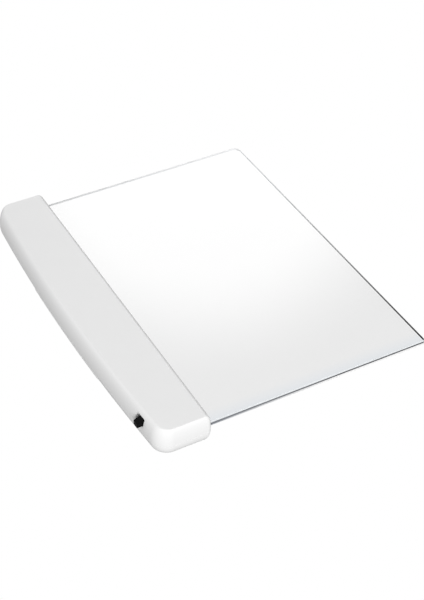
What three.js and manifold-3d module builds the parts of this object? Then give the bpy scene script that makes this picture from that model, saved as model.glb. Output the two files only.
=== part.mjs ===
// Edge-lit reading light: a clear light-guide panel held along one long side by a slim battery housing.
// Millimetres, +Z up. While it is drawn, x = 0 is the housing's inner face, with the panel on +X and the
// housing on -X, y = 0 is the middle of its length, and z = 0 is the housing's flat underside. The group
// is then shifted along X, so that the origin lies under the middle of the whole light.
import * as THREE from 'three';
import { mergeVertices } from 'three/addons/utils/BufferGeometryUtils.js';
import Module from 'manifold-3d';

// Panel
const PANEL_REACH = 137;        // visible width, from the housing's inner face to the free edge
const PANEL_LENGTH = 216;
const PANEL_THICKNESS = 3;
const PANEL_CORNERS = [1.5, 4.4];  // radii of the free corners, at the switch end and at the other end
const PANEL_BEVEL = 0.25;       // broken edge all round
const PANEL_Z = 6.3;            // level of the panel's underside
const TONGUE_DEPTH = 4.6;       // hidden margin inside the housing
const TONGUE_STEP = 0.3;        // the hidden margin is this much thinner on each face
const PEG_X = [-3.6, -2.2];     // uprights of the lower shell that stand in the hidden margin's notches
const PEG_WIDTH = 2;
const CLEARANCE = 0.3;          // gap kept between neighbouring pieces
const OVERLAP = 0.2;            // how far features of one piece run into each other

// Housing
const HOUSING_LENGTH = 224.2;
const HOUSING_HEIGHT = 17;
const HOUSING_DEPTH = 35.4;     // at the middle of the bowed outer wall
const BOW_RISE = 4.4;           // how far the middle of the outer wall stands out past its ends
const OUTER_CORNER = 9.8;       // plan radius of the two outer corners
const INNER_CORNER = 2.2;       // plan radius of the two inner corners
const TOP_INSET = 2.2;          // rounding of the top edge: width, then height
const TOP_RISE = 4;
const BOTTOM_INSET = 2.8;       // rounding of the bottom edge: width, then height
const BOTTOM_RISE = 6;
const INNER_TOP_RADIUS = 2.4;
const INNER_BOTTOM_RADIUS = 3.2;
const WALL = 1.8;
const SEAM_Z = 6;               // top edge of the lower shell; the upper shell starts a gap above it
const UPPER_SHELL_Z = SEAM_Z + CLEARANCE;
const CEILING_Z = HOUSING_HEIGHT - WALL;
const SHELF_DEPTH = 3.6;        // how far in the ribs reach that clamp the panel's hidden margin
const RIM_HEIGHT = 1.4;         // lip of the lower shell that centres the upper one
const RIM_THICKNESS = 0.9;
const RIM_START_Y = 52;
const RIM_FOOT = 1.6;           // how far below the seam the lip is rooted in the wall

// Battery door, cells and compartment
const DOOR_LENGTH = 87.4;
const DOOR_INNER_X = -11.3;
const DOOR_THICKNESS = 1.2;
const DOOR_LIP_Z = 3.4;         // top of the lip that wraps the outer wall
const DOOR_PROUD = 0.6;         // how far the lip stands out past the wall
const RAIL_THICKNESS = 0.8;     // the door's flanges and the shell's ledges
const RAIL_WIDTH = 1.6;
const RAIL_X = [-31.4, -12.6];
const RAIL_WEB = 1.2;
const GRIP_COUNT = 4;           // thumb grooves across the door
const GRIP_START_X = -30.2;
const GRIP_PITCH = 2.2;
const GRIP_WIDTH = 1;
const GRIP_HALF_LENGTH = 9;
const GRIP_DEPTH = 0.4;
const CELL_RADIUS = 5.25;       // AAA size
const CELL_LENGTH = 44.5;
const CELL_Z = 9.05;
const LANE_X = [-26.9, -16.15];
const BAY_HALF_LENGTH = 47.5;
const BAY_WALL = 1.2;
const BAY_INNER_X = -10.6;
const WIRE_WINDOW_X = [1.6, 3.8];   // from the middle of a lane
const WIRE_WINDOW_Z = [11.2, 13.4];
const CONTACT_THICKNESS = 0.5;
const CONTACT_HALF_WIDTH = 4.2;
const CONTACT_Z = [CELL_Z - 4.4, CELL_Z + 4.6];
const SPRING_WIRE_RADIUS = 0.35;
const SPRING_SHIFT = 1.9;       // the spring in each lane pushes its cells this far off the bay's middle

// Light strip
const BOARD_X = -8.2;
const BOARD_THICKNESS = 1.2;
const BOARD_LENGTH = 204;
const BOARD_Z = [2.8, 12.8];
const LIGHT_Z = PANEL_Z + PANEL_THICKNESS / 2;
const LED_COUNT = 6;
const LED_PITCH = 33.6;
const NOTCH_Y = [-2, -1, 1, 2].map((step) => step * LED_PITCH);
const LED_DEPTH = 1.4;
const LED_HALF = [1.75, 1.4];   // half width, half height
const LED_WELL_HALF = [1.2, 0.9];
const LED_WELL_DEPTH = 0.3;
const RESISTOR_HALF = [1.6, 0.8];
const RESISTOR_DEPTH = 0.6;
const BOARD_RIB_Y = [-100, -52, -20, 20, 52, 100];
const BOARD_RIB_THICKNESS = 1.4;
const BOARD_RIB_TOP_Z = 5;

// Slide switch
const SLOT_Y = [-95.45, -87.25];
const SLOT_Z = [9.4, 14.4];
const KNOB_LENGTH = 4.6;
const SWITCH_TRAVEL = SLOT_Y[1] - SLOT_Y[0] - KNOB_LENGTH - 2 * CLEARANCE;
const KNOB_Y = SLOT_Y[0] + CLEARANCE + KNOB_LENGTH / 2;
const SWITCH_Y = KNOB_Y + SWITCH_TRAVEL / 2;
const SWITCH_Z = 12.35;
const KNOB_FACE_X = -35.7;
const KNOB_TOP_FALL = 1.6;      // how far the knob's top slopes down towards its face
const KNOB_GROOVE_PITCH = 1.3;
const KNOB_GROOVE_WIDTH = 0.6;
const KNOB_GROOVE_DEPTH = 0.4;
const FLANGE_HALF_LENGTH = 6.4;
const FLANGE_THICKNESS = 0.8;
const FLANGE_Z = [SLOT_Z[0] - 1, SLOT_Z[1] + 0.5];
const STEM_HALF = [1.5, 0.8];   // half width, half height
const STEM_END_X = -26.4;
const PAD_X = -29.6;            // flat inner face of the wall's thick patch behind the slot
const PAD_HALF_LENGTH = 11.5;
const SWITCH_HALF_HEIGHT = 2.5;
const SWITCH_PLATE_X = [-28.1, -27.6];
const SWITCH_PLATE_HALF_LENGTH = 9.6;
const SWITCH_LEG_Y = [6.9, 7.4];
const SWITCH_LEG_END_X = -24;
const SWITCH_BODY_X = [-27.3, -23.6];
const SWITCH_BODY_HALF_LENGTH = 6.6;
const SWITCH_WELL_X = -25.8;    // bottom of the well that the knob's stem reaches into
const PIN_PITCH = 3;
const PIN_LENGTH = 3;
const PIN_HALF = [0.6, 0.25];
const EAR_X = [-27.2, -25.6];   // uprights behind the switch's frame
const EAR_OFFSET = 8.9;
const EAR_HALF_WIDTH = 0.8;

// Screws
const SCREW_PLACES = [[-18, -103], [-18, -58], [-18, 58], [-18, 103]];
const SCREW_HEAD_RADIUS = 2.5;
const SCREW_SHANK_RADIUS = 1.2;
const SCREW_HEAD_Z = [0.9, 2.6];
const SCREW_TOP_Z = 11.5;
const BOSS_RADIUS = 4;
const UPPER_BOSS_RADIUS = 3;
const CROSS_ARM = [1.4, 0.3];   // half length and half width of each arm of the cross recess
const CROSS_DEPTH = 0.9;

const ARC_STEPS = 5;            // a full arc of an outline gets twice as many straight pieces
const EDGE_STEPS = 4;
const ROUND_SIDES = 20;
const WIRE_RADIUS = 0.6;
const FAR = 400;                // a length that is longer than everything

const wasm = await Module();
wasm.setup();

// ---- solids ----

function toSolid(geometry) {
  const bare = geometry.clone();
  bare.deleteAttribute('normal');
  bare.deleteAttribute('uv');
  const merged = mergeVertices(bare, 1e-4);
  const corners = merged.index.array;
  const faces = [];
  for (let i = 0; i < corners.length; i += 3) {
    const [a, b, c] = [corners[i], corners[i + 1], corners[i + 2]];
    if (a !== b && b !== c && c !== a) {
      faces.push(a, b, c);
    }
  }
  return new wasm.Manifold(new wasm.Mesh({
    numProp: 3,
    vertProperties: new Float32Array(merged.attributes.position.array),
    triVerts: new Uint32Array(faces),
  }));
}

function toGeometry(solid) {
  const mesh = solid.getMesh();
  const geometry = new THREE.BufferGeometry();
  geometry.setAttribute('position', new THREE.BufferAttribute(new Float32Array(mesh.vertProperties), 3));
  geometry.setIndex(new THREE.BufferAttribute(new Uint32Array(mesh.triVerts), 1));
  geometry.computeVertexNormals();
  return geometry;
}

function joined(first, ...others) {
  return others.reduce((sum, other) => sum.add(other), first);
}

function cut(first, ...others) {
  return others.reduce((rest, other) => rest.subtract(other), first);
}

// A block between two corners.
function block([x0, x1], [y0, y1], [z0, z1]) {
  const geometry = new THREE.BoxGeometry(x1 - x0, y1 - y0, z1 - z0);
  geometry.translate((x0 + x1) / 2, (y0 + y1) / 2, (z0 + z1) / 2);
  return toSolid(geometry);
}

// The pair of coordinates from near to far, on the side given by -1 or 1.
function onSide(side, near, far) {
  return [side * near, side * far].sort((a, b) => a - b);
}

// The pair of coordinates half a width either side of a middle.
function around(middle, half) {
  return [middle - half, middle + half];
}

// An upright round post.
function post([x, y], radius, [z0, z1]) {
  const geometry = new THREE.CylinderGeometry(radius, radius, z1 - z0, ROUND_SIDES);
  geometry.rotateX(Math.PI / 2);
  geometry.translate(x, y, (z0 + z1) / 2);
  return toSolid(geometry);
}

// An outline pushed up from z0 to z1, with a rounding at each end, given as [width, height].
function slab(shape, [z0, z1], bevel = [0, 0], steps = EDGE_STEPS) {
  const [inset, rise] = bevel;
  const geometry = new THREE.ExtrudeGeometry(shape, {
    depth: z1 - z0 - 2 * rise,
    curveSegments: ARC_STEPS,
    bevelEnabled: rise > 0,
    bevelSize: inset,
    bevelOffset: -inset,
    bevelThickness: rise,
    bevelSegments: steps,
  });
  geometry.translate(0, 0, z0 + rise);
  return toSolid(geometry);
}

// A round bar along a curve.
function bar(curve, radius, steps, sides = 8) {
  const section = new THREE.Shape();
  for (let i = 0; i < sides; i++) {
    const angle = i / sides * 2 * Math.PI;
    const [x, y] = [radius * Math.cos(angle), radius * Math.sin(angle)];
    if (i === 0) {
      section.moveTo(x, y);
    } else {
      section.lineTo(x, y);
    }
  }
  return toSolid(new THREE.ExtrudeGeometry(section, { steps, extrudePath: curve }));
}

// ---- housing ----

// The housing seen from above: bowed outer wall, four rounded corners. inset moves the outline inward,
// faceX places the straight inner side, and inner is the radius of the corners at its ends.
function housingOutline(inset = 0, faceX = -inset, inner = Math.max(INNER_CORNER - inset, 0.4)) {
  const half = HOUSING_LENGTH / 2;
  const bowRadius = (half ** 2 + BOW_RISE ** 2) / (2 * BOW_RISE);
  const bowX = bowRadius - HOUSING_DEPTH;
  const cornerY = half - OUTER_CORNER;
  const cornerX = bowX - Math.sqrt((bowRadius - OUTER_CORNER) ** 2 - cornerY ** 2);
  const bowAngle = Math.atan2(cornerY, bowX - cornerX);
  const outer = OUTER_CORNER - inset;
  const innerX = faceX - inner;
  const innerY = half - inset - inner;
  const shape = new THREE.Shape();
  shape.absarc(innerX, -innerY, inner, -Math.PI / 2, 0, false);
  shape.absarc(innerX, innerY, inner, 0, Math.PI / 2, false);
  shape.absarc(cornerX, cornerY, outer, Math.PI / 2, Math.PI - bowAngle, false);
  shape.absarc(bowX, 0, bowRadius - inset, Math.PI - bowAngle, Math.PI + bowAngle, false);
  shape.absarc(cornerX, -cornerY, outer, Math.PI + bowAngle, Math.PI * 1.5, false);
  return shape;
}

// The housing's cross-section from its inner face outward, run along its whole length.
function innerEdgeForm() {
  const [top, low] = [INNER_TOP_RADIUS, INNER_BOTTOM_RADIUS];
  const section = new THREE.Shape();
  section.moveTo(-HOUSING_DEPTH * 2, 0);
  section.lineTo(-low, 0);
  section.absarc(-low, low, low, -Math.PI / 2, 0, false);
  section.absarc(-top, HOUSING_HEIGHT - top, top, 0, Math.PI / 2, false);
  section.lineTo(-HOUSING_DEPTH * 2, HOUSING_HEIGHT);
  const geometry = new THREE.ExtrudeGeometry(section, { depth: FAR, bevelEnabled: false, curveSegments: 3 });
  geometry.rotateX(Math.PI / 2);
  geometry.translate(0, FAR / 2, 0);
  return toSolid(geometry);
}

// The whole outer form of the housing; proud swells its bowed wall and ends.
function housingForm(proud = 0) {
  const margin = 10;
  const wide = housingOutline(-proud, margin, margin / 2);
  const upper = slab(wide, [-FAR / 8, HOUSING_HEIGHT], [TOP_INSET, TOP_RISE]);
  const lower = slab(wide, [0, FAR / 8], [BOTTOM_INSET + proud, BOTTOM_RISE]);
  const plan = slab(housingOutline(-proud, 0, INNER_CORNER), [-1, HOUSING_HEIGHT + 1]);
  return upper.intersect(lower).intersect(plan).intersect(innerEdgeForm());
}

// A lip inside the lower shell's wall, over the two ends of the housing, standing up past the seam.
function endRim() {
  const gap = WALL + CLEARANCE;
  const inner = slab(housingOutline(gap + RIM_THICKNESS), [0, FAR / 4]);
  const foot = slab(housingOutline(WALL - OVERLAP), [SEAM_Z - RIM_FOOT, SEAM_Z]);
  const lip = slab(housingOutline(gap), [SEAM_Z - 1, SEAM_Z + RIM_HEIGHT]);
  const shelfSide = -SHELF_DEPTH - 2;
  const clearOfPad = PAD_HALF_LENGTH + 1;
  return cut(
    joined(foot, lip),
    inner,
    block([-FAR, FAR], [-RIM_START_Y, RIM_START_Y], [0, FAR]),
    block([shelfSide, FAR], [-FAR, FAR], [0, FAR]),
    block([-FAR, PAD_X + clearOfPad / 2], around(SWITCH_Y, clearOfPad), [0, FAR]),
  );
}

function upperShell() {
  const panelHalf = PANEL_LENGTH / 2 + CLEARANCE;
  const roots = CEILING_Z + OVERLAP * 2;
  const outside = cut(housingForm(), block([-FAR, FAR], [-FAR, FAR], [-1, UPPER_SHELL_Z]));
  const hollow = slab(housingOutline(WALL), [UPPER_SHELL_Z - 2, CEILING_Z]);
  const shelf = block([-SHELF_DEPTH, -WALL / 2], [-panelHalf, panelHalf], [UPPER_SHELL_Z, roots]);
  const inside = slab(housingOutline(WALL / 2), [UPPER_SHELL_Z, roots]);
  const patch = block([-FAR, PAD_X], around(SWITCH_Y, PAD_HALF_LENGTH), [UPPER_SHELL_Z, roots]);
  const bosses = SCREW_PLACES.map((spot) => post(spot, UPPER_BOSS_RADIUS, [UPPER_SHELL_Z, roots]));
  const pilots = SCREW_PLACES.map((spot) => (
    post(spot, SCREW_SHANK_RADIUS + CLEARANCE, [UPPER_SHELL_Z - 1, SCREW_TOP_Z + CLEARANCE])
  ));
  const panelTop = PANEL_Z + PANEL_THICKNESS;
  return cut(
    joined(cut(outside, hollow), shelf, patch.intersect(inside), ...bosses),
    block([-SHELF_DEPTH - 1, FAR], [-panelHalf, panelHalf], [0, panelTop]),
    block([-FAR, PAD_X + 1], SLOT_Y, SLOT_Z),
    ...pilots,
  );
}

// Upright walls round the cells, with two small windows for the wires at the near end.
function batteryBay() {
  const top = CEILING_Z - CLEARANCE;
  const outer = BAY_HALF_LENGTH + BAY_WALL;
  const bay = cut(
    block([-FAR / 4, BAY_INNER_X + BAY_WALL], [-outer, outer], [DOOR_THICKNESS, top]),
    block([-FAR, BAY_INNER_X], [-BAY_HALF_LENGTH, BAY_HALF_LENGTH], [0, FAR]),
  );
  const windows = LANE_X.map((x) => (
    block(WIRE_WINDOW_X.map((offset) => x + offset), [-outer - 1, -BAY_HALF_LENGTH + 1], WIRE_WINDOW_Z)
  ));
  const hugging = slab(housingOutline(WALL / 2), [DOOR_THICKNESS, top]);
  const clearOfUpperWall = cut(
    slab(housingOutline(0.1), [SEAM_Z, FAR]),
    slab(housingOutline(WALL + CLEARANCE), [SEAM_Z - 1, FAR * 2]),
  );
  return cut(bay.intersect(hugging), clearOfUpperWall, ...windows);
}

// Blocks along the floor, each with a slot that holds the light strip's board upright.
function boardRibs() {
  const [back, front] = [BAY_INNER_X + BAY_WALL + OVERLAP / 2, -SHELF_DEPTH - 0.6];
  const half = BOARD_RIB_THICKNESS / 2;
  const boardSlot = [BOARD_X - CLEARANCE, BOARD_X + BOARD_THICKNESS + CLEARANCE];
  return BOARD_RIB_Y.map((y) => cut(
    block([back, front], around(y, half), [WALL - OVERLAP, BOARD_RIB_TOP_Z]),
    block(boardSlot, around(y, half + 1), [BOARD_Z[0] - CLEARANCE, BOARD_RIB_TOP_Z + 1]),
  ));
}

// Uprights that trap the switch's frame from behind, and a rest under its body.
function switchCradle() {
  const low = WALL - OVERLAP;
  const restTop = SWITCH_Z - SWITCH_HALF_HEIGHT - CLEARANCE;
  const ears = [-1, 1].map((side) => (
    block(EAR_X, around(SWITCH_Y + side * EAR_OFFSET, EAR_HALF_WIDTH), [low, SWITCH_Z])
  ));
  const restY = around(SWITCH_Y, SWITCH_BODY_HALF_LENGTH - 1);
  const rest = block([EAR_X[0], SWITCH_BODY_X[1]], restY, [low, restTop]);
  return [...ears, rest];
}

// The way through the lower shell's floor and wall that the battery door fills.
function doorway() {
  const half = DOOR_LENGTH / 2 + CLEARANCE;
  const wallRing = cut(
    slab(housingOutline(-2), [-2, FAR / 8]),
    slab(housingOutline(WALL + 1), [-3, FAR / 4]),
  );
  return joined(
    block([-FAR, DOOR_INNER_X + CLEARANCE], [-half, half], [-1, WALL + OVERLAP / 2]),
    block([-FAR, DOOR_INNER_X], [-half, half], [-1, DOOR_LIP_Z + CLEARANCE]).intersect(wallRing),
  );
}

function lowerShell() {
  const doorHalf = DOOR_LENGTH / 2 + CLEARANCE;
  const panelHalf = PANEL_LENGTH / 2;
  const low = WALL - OVERLAP;
  const outside = cut(housingForm(), block([-FAR, FAR], [-FAR, FAR], [SEAM_Z, FAR]));
  const hollow = slab(housingOutline(WALL), [WALL, FAR / 4]);
  const ledgeZ = DOOR_THICKNESS + CLEARANCE;
  const ledges = [-1, 1].map((side) => block(
    [RAIL_X[0] - OVERLAP * 2, RAIL_X[1] + OVERLAP / 2],
    onSide(side, doorHalf - RAIL_WIDTH, doorHalf + 2),
    [ledgeZ, ledgeZ + RAIL_THICKNESS],
  ));
  const shelf = block([-SHELF_DEPTH, -WALL / 2], [-panelHalf, panelHalf], [low, PANEL_Z]);
  const sill = block([-WALL, 0], [-panelHalf, panelHalf], [SEAM_Z - 1, PANEL_Z]);
  const pegs = NOTCH_Y.map(pegAt);
  const bosses = SCREW_PLACES.map((spot) => post(spot, BOSS_RADIUS, [low, SEAM_Z]));
  const sinks = SCREW_PLACES.map((spot) => (
    post(spot, SCREW_HEAD_RADIUS + CLEARANCE, [-1, SCREW_HEAD_Z[1] + CLEARANCE])
  ));
  const holes = SCREW_PLACES.map((spot) => (
    post(spot, SCREW_SHANK_RADIUS + CLEARANCE, [0, SEAM_Z + 1])
  ));
  const shell = cut(outside, hollow, doorway());
  const fittings = [shelf, sill, ...pegs, ...ledges, ...bosses, ...boardRibs(), ...switchCradle()];
  return cut(joined(shell, batteryBay(), endRim(), ...fittings), ...sinks, ...holes);
}

// A small upright on the lower shell that keeps the panel from being pulled out.
function pegAt(y) {
  const top = PANEL_Z + PANEL_THICKNESS - TONGUE_STEP * 3;
  return block(PEG_X, around(y, PEG_WIDTH / 2), [PANEL_Z - 1, top]);
}

// ---- panel ----

function lightPanel() {
  const half = PANEL_LENGTH / 2;
  const [near, far] = PANEL_CORNERS;
  const shape = new THREE.Shape();
  shape.moveTo(-TONGUE_DEPTH, -half);
  shape.lineTo(PANEL_REACH - near, -half);
  shape.absarc(PANEL_REACH - near, -half + near, near, -Math.PI / 2, 0, false);
  shape.absarc(PANEL_REACH - far, half - far, far, 0, Math.PI / 2, false);
  shape.lineTo(-TONGUE_DEPTH, half);
  const top = PANEL_Z + PANEL_THICKNESS;
  const steps = [[PANEL_Z - 1, PANEL_Z + TONGUE_STEP], [top - TONGUE_STEP, top + 1]];
  const notches = NOTCH_Y.map((y) => (
    block([-FAR, PEG_X[1] + CLEARANCE], around(y, PEG_WIDTH / 2 + CLEARANCE), [0, FAR])
  ));
  return cut(
    slab(shape, [PANEL_Z, top], [PANEL_BEVEL, PANEL_BEVEL], 1),
    ...steps.map((levels) => block([-FAR, CLEARANCE], [-FAR, FAR], levels)),
    ...notches,
  );
}

// ---- battery door ----

// One hook rail of the door: a web and a flange that reaches out over the shell's ledge.
function doorRail(side) {
  const webOuter = DOOR_LENGTH / 2 - RAIL_WIDTH;
  const web = onSide(side, webOuter - RAIL_WEB, webOuter);
  const flange = onSide(side, webOuter - RAIL_WEB, DOOR_LENGTH / 2 - 0.1);
  return joined(
    block(RAIL_X, web, [DOOR_THICKNESS - OVERLAP, DOOR_LIP_Z]),
    block(RAIL_X, flange, [DOOR_LIP_Z - RAIL_THICKNESS, DOOR_LIP_Z]),
  );
}

function batteryDoor() {
  const half = DOOR_LENGTH / 2;
  const skin = housingForm(DOOR_PROUD).intersect(
    block([-FAR, DOOR_INNER_X], [-half, half], [-1, DOOR_LIP_Z]),
  );
  const hollow = slab(housingOutline(WALL), [DOOR_THICKNESS, FAR / 4]);
  const grips = Array.from({ length: GRIP_COUNT }, (_, i) => {
    const x = GRIP_START_X + i * GRIP_PITCH;
    return block([x, x + GRIP_WIDTH], [-GRIP_HALF_LENGTH, GRIP_HALF_LENGTH], [-1, GRIP_DEPTH]);
  });
  return cut(joined(cut(skin, hollow), doorRail(-1), doorRail(1)), ...grips);
}

// ---- electrical pieces ----

// One AAA cell on its side; direction +1 points its button along +Y.
function batteryCell(x, y, direction) {
  const [body, crimp, button] = [CELL_LENGTH - 1.1, 0.5, 1.9];
  const profile = [
    [0, 0], [CELL_RADIUS - crimp, 0], [CELL_RADIUS, crimp], [CELL_RADIUS, body - crimp],
    [CELL_RADIUS - crimp, body], [button, body], [button, CELL_LENGTH], [0, CELL_LENGTH],
  ].map(([r, h]) => new THREE.Vector2(r, h));
  const geometry = new THREE.LatheGeometry(profile, ROUND_SIDES + 4);
  geometry.translate(0, -CELL_LENGTH / 2, 0);
  if (direction < 0) {
    geometry.rotateX(Math.PI);
  }
  geometry.translate(x, y, CELL_Z);
  return toSolid(geometry);
}

// A conical contact spring along Y, wide at its base.
class ConicalCoil extends THREE.Curve {
  constructor(x, startY, direction) {
    super();
    this.start = [x, startY, CELL_Z];
    this.direction = direction;
  }

  getPoint(t) {
    const [turns, length, wide, narrow] = [2.5, 2.7, 3.6, 2.2];
    const angle = t * turns * 2 * Math.PI;
    const radius = wide + (narrow - wide) * t;
    const [x, y, z] = this.start;
    return new THREE.Vector3(
      x + radius * Math.cos(angle),
      y + this.direction * length * t,
      z + radius * Math.sin(angle),
    );
  }
}

function contactSpring(x, direction) {
  const plateFace = BAY_HALF_LENGTH - CLEARANCE - CONTACT_THICKNESS;
  const start = -direction * (plateFace - SPRING_WIRE_RADIUS - CLEARANCE);
  return bar(new ConicalCoil(x, start, direction), SPRING_WIRE_RADIUS, 30, 6);
}

// A contact plate against an end wall of the battery bay, covering the lanes between x0 and x1.
function contactPlate([x0, x1], side) {
  const outer = BAY_HALF_LENGTH - CLEARANCE;
  return block([x0, x1], onSide(side, outer - CONTACT_THICKNESS, outer), CONTACT_Z);
}

function ledBoard() {
  const half = BOARD_LENGTH / 2;
  return block([BOARD_X, BOARD_X + BOARD_THICKNESS], [-half, half], BOARD_Z);
}

// A white LED package with a shallow lens recess in its front.
function ledPackage(y) {
  const back = BOARD_X + BOARD_THICKNESS;
  const front = back + LED_DEPTH;
  const [bodyHalf, bodyRise] = LED_HALF;
  const [wellHalf, wellRise] = LED_WELL_HALF;
  return cut(
    block([back, front], around(y, bodyHalf), around(LIGHT_Z, bodyRise)),
    block([front - LED_WELL_DEPTH, front + 1], around(y, wellHalf), around(LIGHT_Z, wellRise)),
  );
}

function ledResistor(y) {
  const [half, rise] = RESISTOR_HALF;
  return block([BOARD_X - RESISTOR_DEPTH, BOARD_X], around(y, half), around(LIGHT_Z, rise));
}

// ---- switch ----

// Black slider: a grooved cap in the slot, a flange behind the wall and a stem into the switch.
function switchKnob() {
  const back = PAD_X + CLEARANCE + FLANGE_THICKNESS / 2;
  const [low, high] = [SLOT_Z[0] + CLEARANCE, SLOT_Z[1] - CLEARANCE];
  const section = new THREE.Shape();
  section.moveTo(back, low);
  section.lineTo(back, high);
  section.lineTo(PAD_X - 2, high);
  section.lineTo(KNOB_FACE_X, high - KNOB_TOP_FALL);
  section.lineTo(KNOB_FACE_X, low);
  const geometry = new THREE.ExtrudeGeometry(section, { depth: KNOB_LENGTH, bevelEnabled: false });
  geometry.rotateX(Math.PI / 2);
  geometry.translate(0, KNOB_Y + KNOB_LENGTH / 2, 0);
  const flangeX = [PAD_X + CLEARANCE, PAD_X + CLEARANCE + FLANGE_THICKNESS];
  const flange = block(flangeX, around(KNOB_Y, FLANGE_HALF_LENGTH), FLANGE_Z);
  const [stemHalf, stemRise] = STEM_HALF;
  const stemX = [flangeX[1] - OVERLAP, STEM_END_X];
  const stem = block(stemX, around(KNOB_Y, stemHalf), around(SWITCH_Z, stemRise));
  const grooves = [-1, 0, 1].map((step) => block(
    [KNOB_FACE_X - 1, KNOB_FACE_X + KNOB_GROOVE_DEPTH],
    around(KNOB_Y + step * KNOB_GROOVE_PITCH, KNOB_GROOVE_WIDTH / 2),
    [0, FAR],
  ));
  return cut(joined(toSolid(geometry), flange, stem), ...grooves);
}

const SWITCH_WINDOW = [
  around(SWITCH_Y, STEM_HALF[0] + SWITCH_TRAVEL / 2 + CLEARANCE),
  around(SWITCH_Z, STEM_HALF[1] + CLEARANCE),
];
const SWITCH_HEIGHT = around(SWITCH_Z, SWITCH_HALF_HEIGHT);

// Sheet-metal frame: a front plate with ears, its slot, and two legs folded back over the body.
function switchFrame() {
  const plate = block(SWITCH_PLATE_X, around(SWITCH_Y, SWITCH_PLATE_HALF_LENGTH), SWITCH_HEIGHT);
  const legs = [-1, 1].map((side) => {
    const y = onSide(side, ...SWITCH_LEG_Y).map((offset) => SWITCH_Y + offset);
    return block([SWITCH_PLATE_X[1] - OVERLAP, SWITCH_LEG_END_X], y, SWITCH_HEIGHT);
  });
  return cut(joined(plate, ...legs), block([SWITCH_PLATE_X[0] - 1, SWITCH_PLATE_X[1] + 1], ...SWITCH_WINDOW));
}

function switchBody() {
  const body = block(SWITCH_BODY_X, around(SWITCH_Y, SWITCH_BODY_HALF_LENGTH), SWITCH_HEIGHT);
  return cut(body, block([SWITCH_BODY_X[0] - 1, SWITCH_WELL_X], ...SWITCH_WINDOW));
}

function switchPin(step) {
  const y = SWITCH_Y + step * PIN_PITCH;
  const start = SWITCH_BODY_X[1];
  return block([start, start + PIN_LENGTH], around(y, PIN_HALF[0]), around(SWITCH_Z, PIN_HALF[1]));
}

// ---- fasteners and wires ----

function housingScrew([x, y]) {
  const head = post([x, y], SCREW_HEAD_RADIUS, SCREW_HEAD_Z);
  const shank = post([x, y], SCREW_SHANK_RADIUS, [SCREW_HEAD_Z[1] - OVERLAP, SCREW_TOP_Z]);
  const recess = [SCREW_HEAD_Z[0] - 1, SCREW_HEAD_Z[0] + CROSS_DEPTH];
  const [long, short] = CROSS_ARM;
  return cut(
    joined(head, shank),
    block(around(x, long), around(y, short), recess),
    block(around(x, short), around(y, long), recess),
  );
}

function wire(points) {
  const curve = new THREE.CatmullRomCurve3(points.map((point) => new THREE.Vector3(...point)));
  return bar(curve, WIRE_RADIUS, 24, 6);
}

const WIRE_START_Y = -BAY_HALF_LENGTH - 0.1;
const WINDOW_Z = (WIRE_WINDOW_Z[0] + WIRE_WINDOW_Z[1]) / 2;
const PIN_WIRE_X = SWITCH_BODY_X[1] + PIN_LENGTH + 0.4;
const PIN_WIRE_RISE = 1.2;      // from the middle of a pin to the middle of its wire

// From the outer lane's contact, through its window, to the switch's middle pin.
function redWire() {
  const x = LANE_X[0] + 2.7;
  return wire([
    [x, WIRE_START_Y, WINDOW_Z], [x, -51, WINDOW_Z], [-23.6, -60, 11], [-22.6, -72, 9.5], [-21.4, -84, 13.2],
    [PIN_WIRE_X, SWITCH_Y, SWITCH_Z + PIN_WIRE_RISE],
  ]);
}

// From the inner lane's contact, through its window, to the light strip's board.
function blackWire() {
  const x = LANE_X[1] + 2.7;
  return wire([
    [x, WIRE_START_Y, WINDOW_Z], [x, -50.5, WINDOW_Z], [-11.9, -56, 11.8], [-11.3, -62, 10.5],
    [-9.2, -66, 9.4],
  ]);
}

// From under the switch's outgoing pin to the light strip's board.
function whiteWire() {
  const pinY = SWITCH_Y + PIN_PITCH;
  return wire([
    [PIN_WIRE_X, pinY, SWITCH_Z - PIN_WIRE_RISE], [-18.5, pinY + 4, 10.6], [-15, -77, 10.8],
    [-11.5, -75, 10.2], [-9.2, -74, 9.4],
  ]);
}

// ---- assembly ----

const FINISHES = {
  white_plastic: { color: 0xe9e9e8, roughness: 0.45, metalness: 0 },
  clear_acrylic: { color: 0xf2f8fa, roughness: 0.05, metalness: 0, transparent: true, opacity: 0.35 },
  black_plastic: { color: 0x141415, roughness: 0.4, metalness: 0 },
  board: { color: 0xf4f4ef, roughness: 0.5, metalness: 0 },
  led: { color: 0xfff3c8, roughness: 0.3, metalness: 0 },
  resistor: { color: 0x202022, roughness: 0.5, metalness: 0 },
  steel: { color: 0xb9bbbd, roughness: 0.35, metalness: 1 },
  cell: { color: 0x3c5a4a, roughness: 0.35, metalness: 0.2 },
  red_wire: { color: 0xb3221d, roughness: 0.5, metalness: 0 },
  black_wire: { color: 0x19191a, roughness: 0.5, metalness: 0 },
  white_wire: { color: 0xe4e4e0, roughness: 0.5, metalness: 0 },
};

const group = new THREE.Group();

function place(name, solid, finish) {
  const mesh = new THREE.Mesh(toGeometry(solid), new THREE.MeshStandardMaterial(FINISHES[finish]));
  mesh.name = name;
  group.add(mesh);
}

place('upper_shell', upperShell(), 'white_plastic');
place('lower_shell', lowerShell(), 'white_plastic');
place('battery_door', batteryDoor(), 'white_plastic');
place('light_panel', lightPanel(), 'clear_acrylic');

place('led_board', ledBoard(), 'board');
for (let i = 0; i < LED_COUNT; i++) {
  place(`led_${i + 1}`, ledPackage((i - (LED_COUNT - 1) / 2) * LED_PITCH), 'led');
}
for (let i = 0; i < LED_COUNT / 2; i++) {
  place(`led_resistor_${i + 1}`, ledResistor((i - 1) * 2 * LED_PITCH + 4), 'resistor');
}

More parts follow.
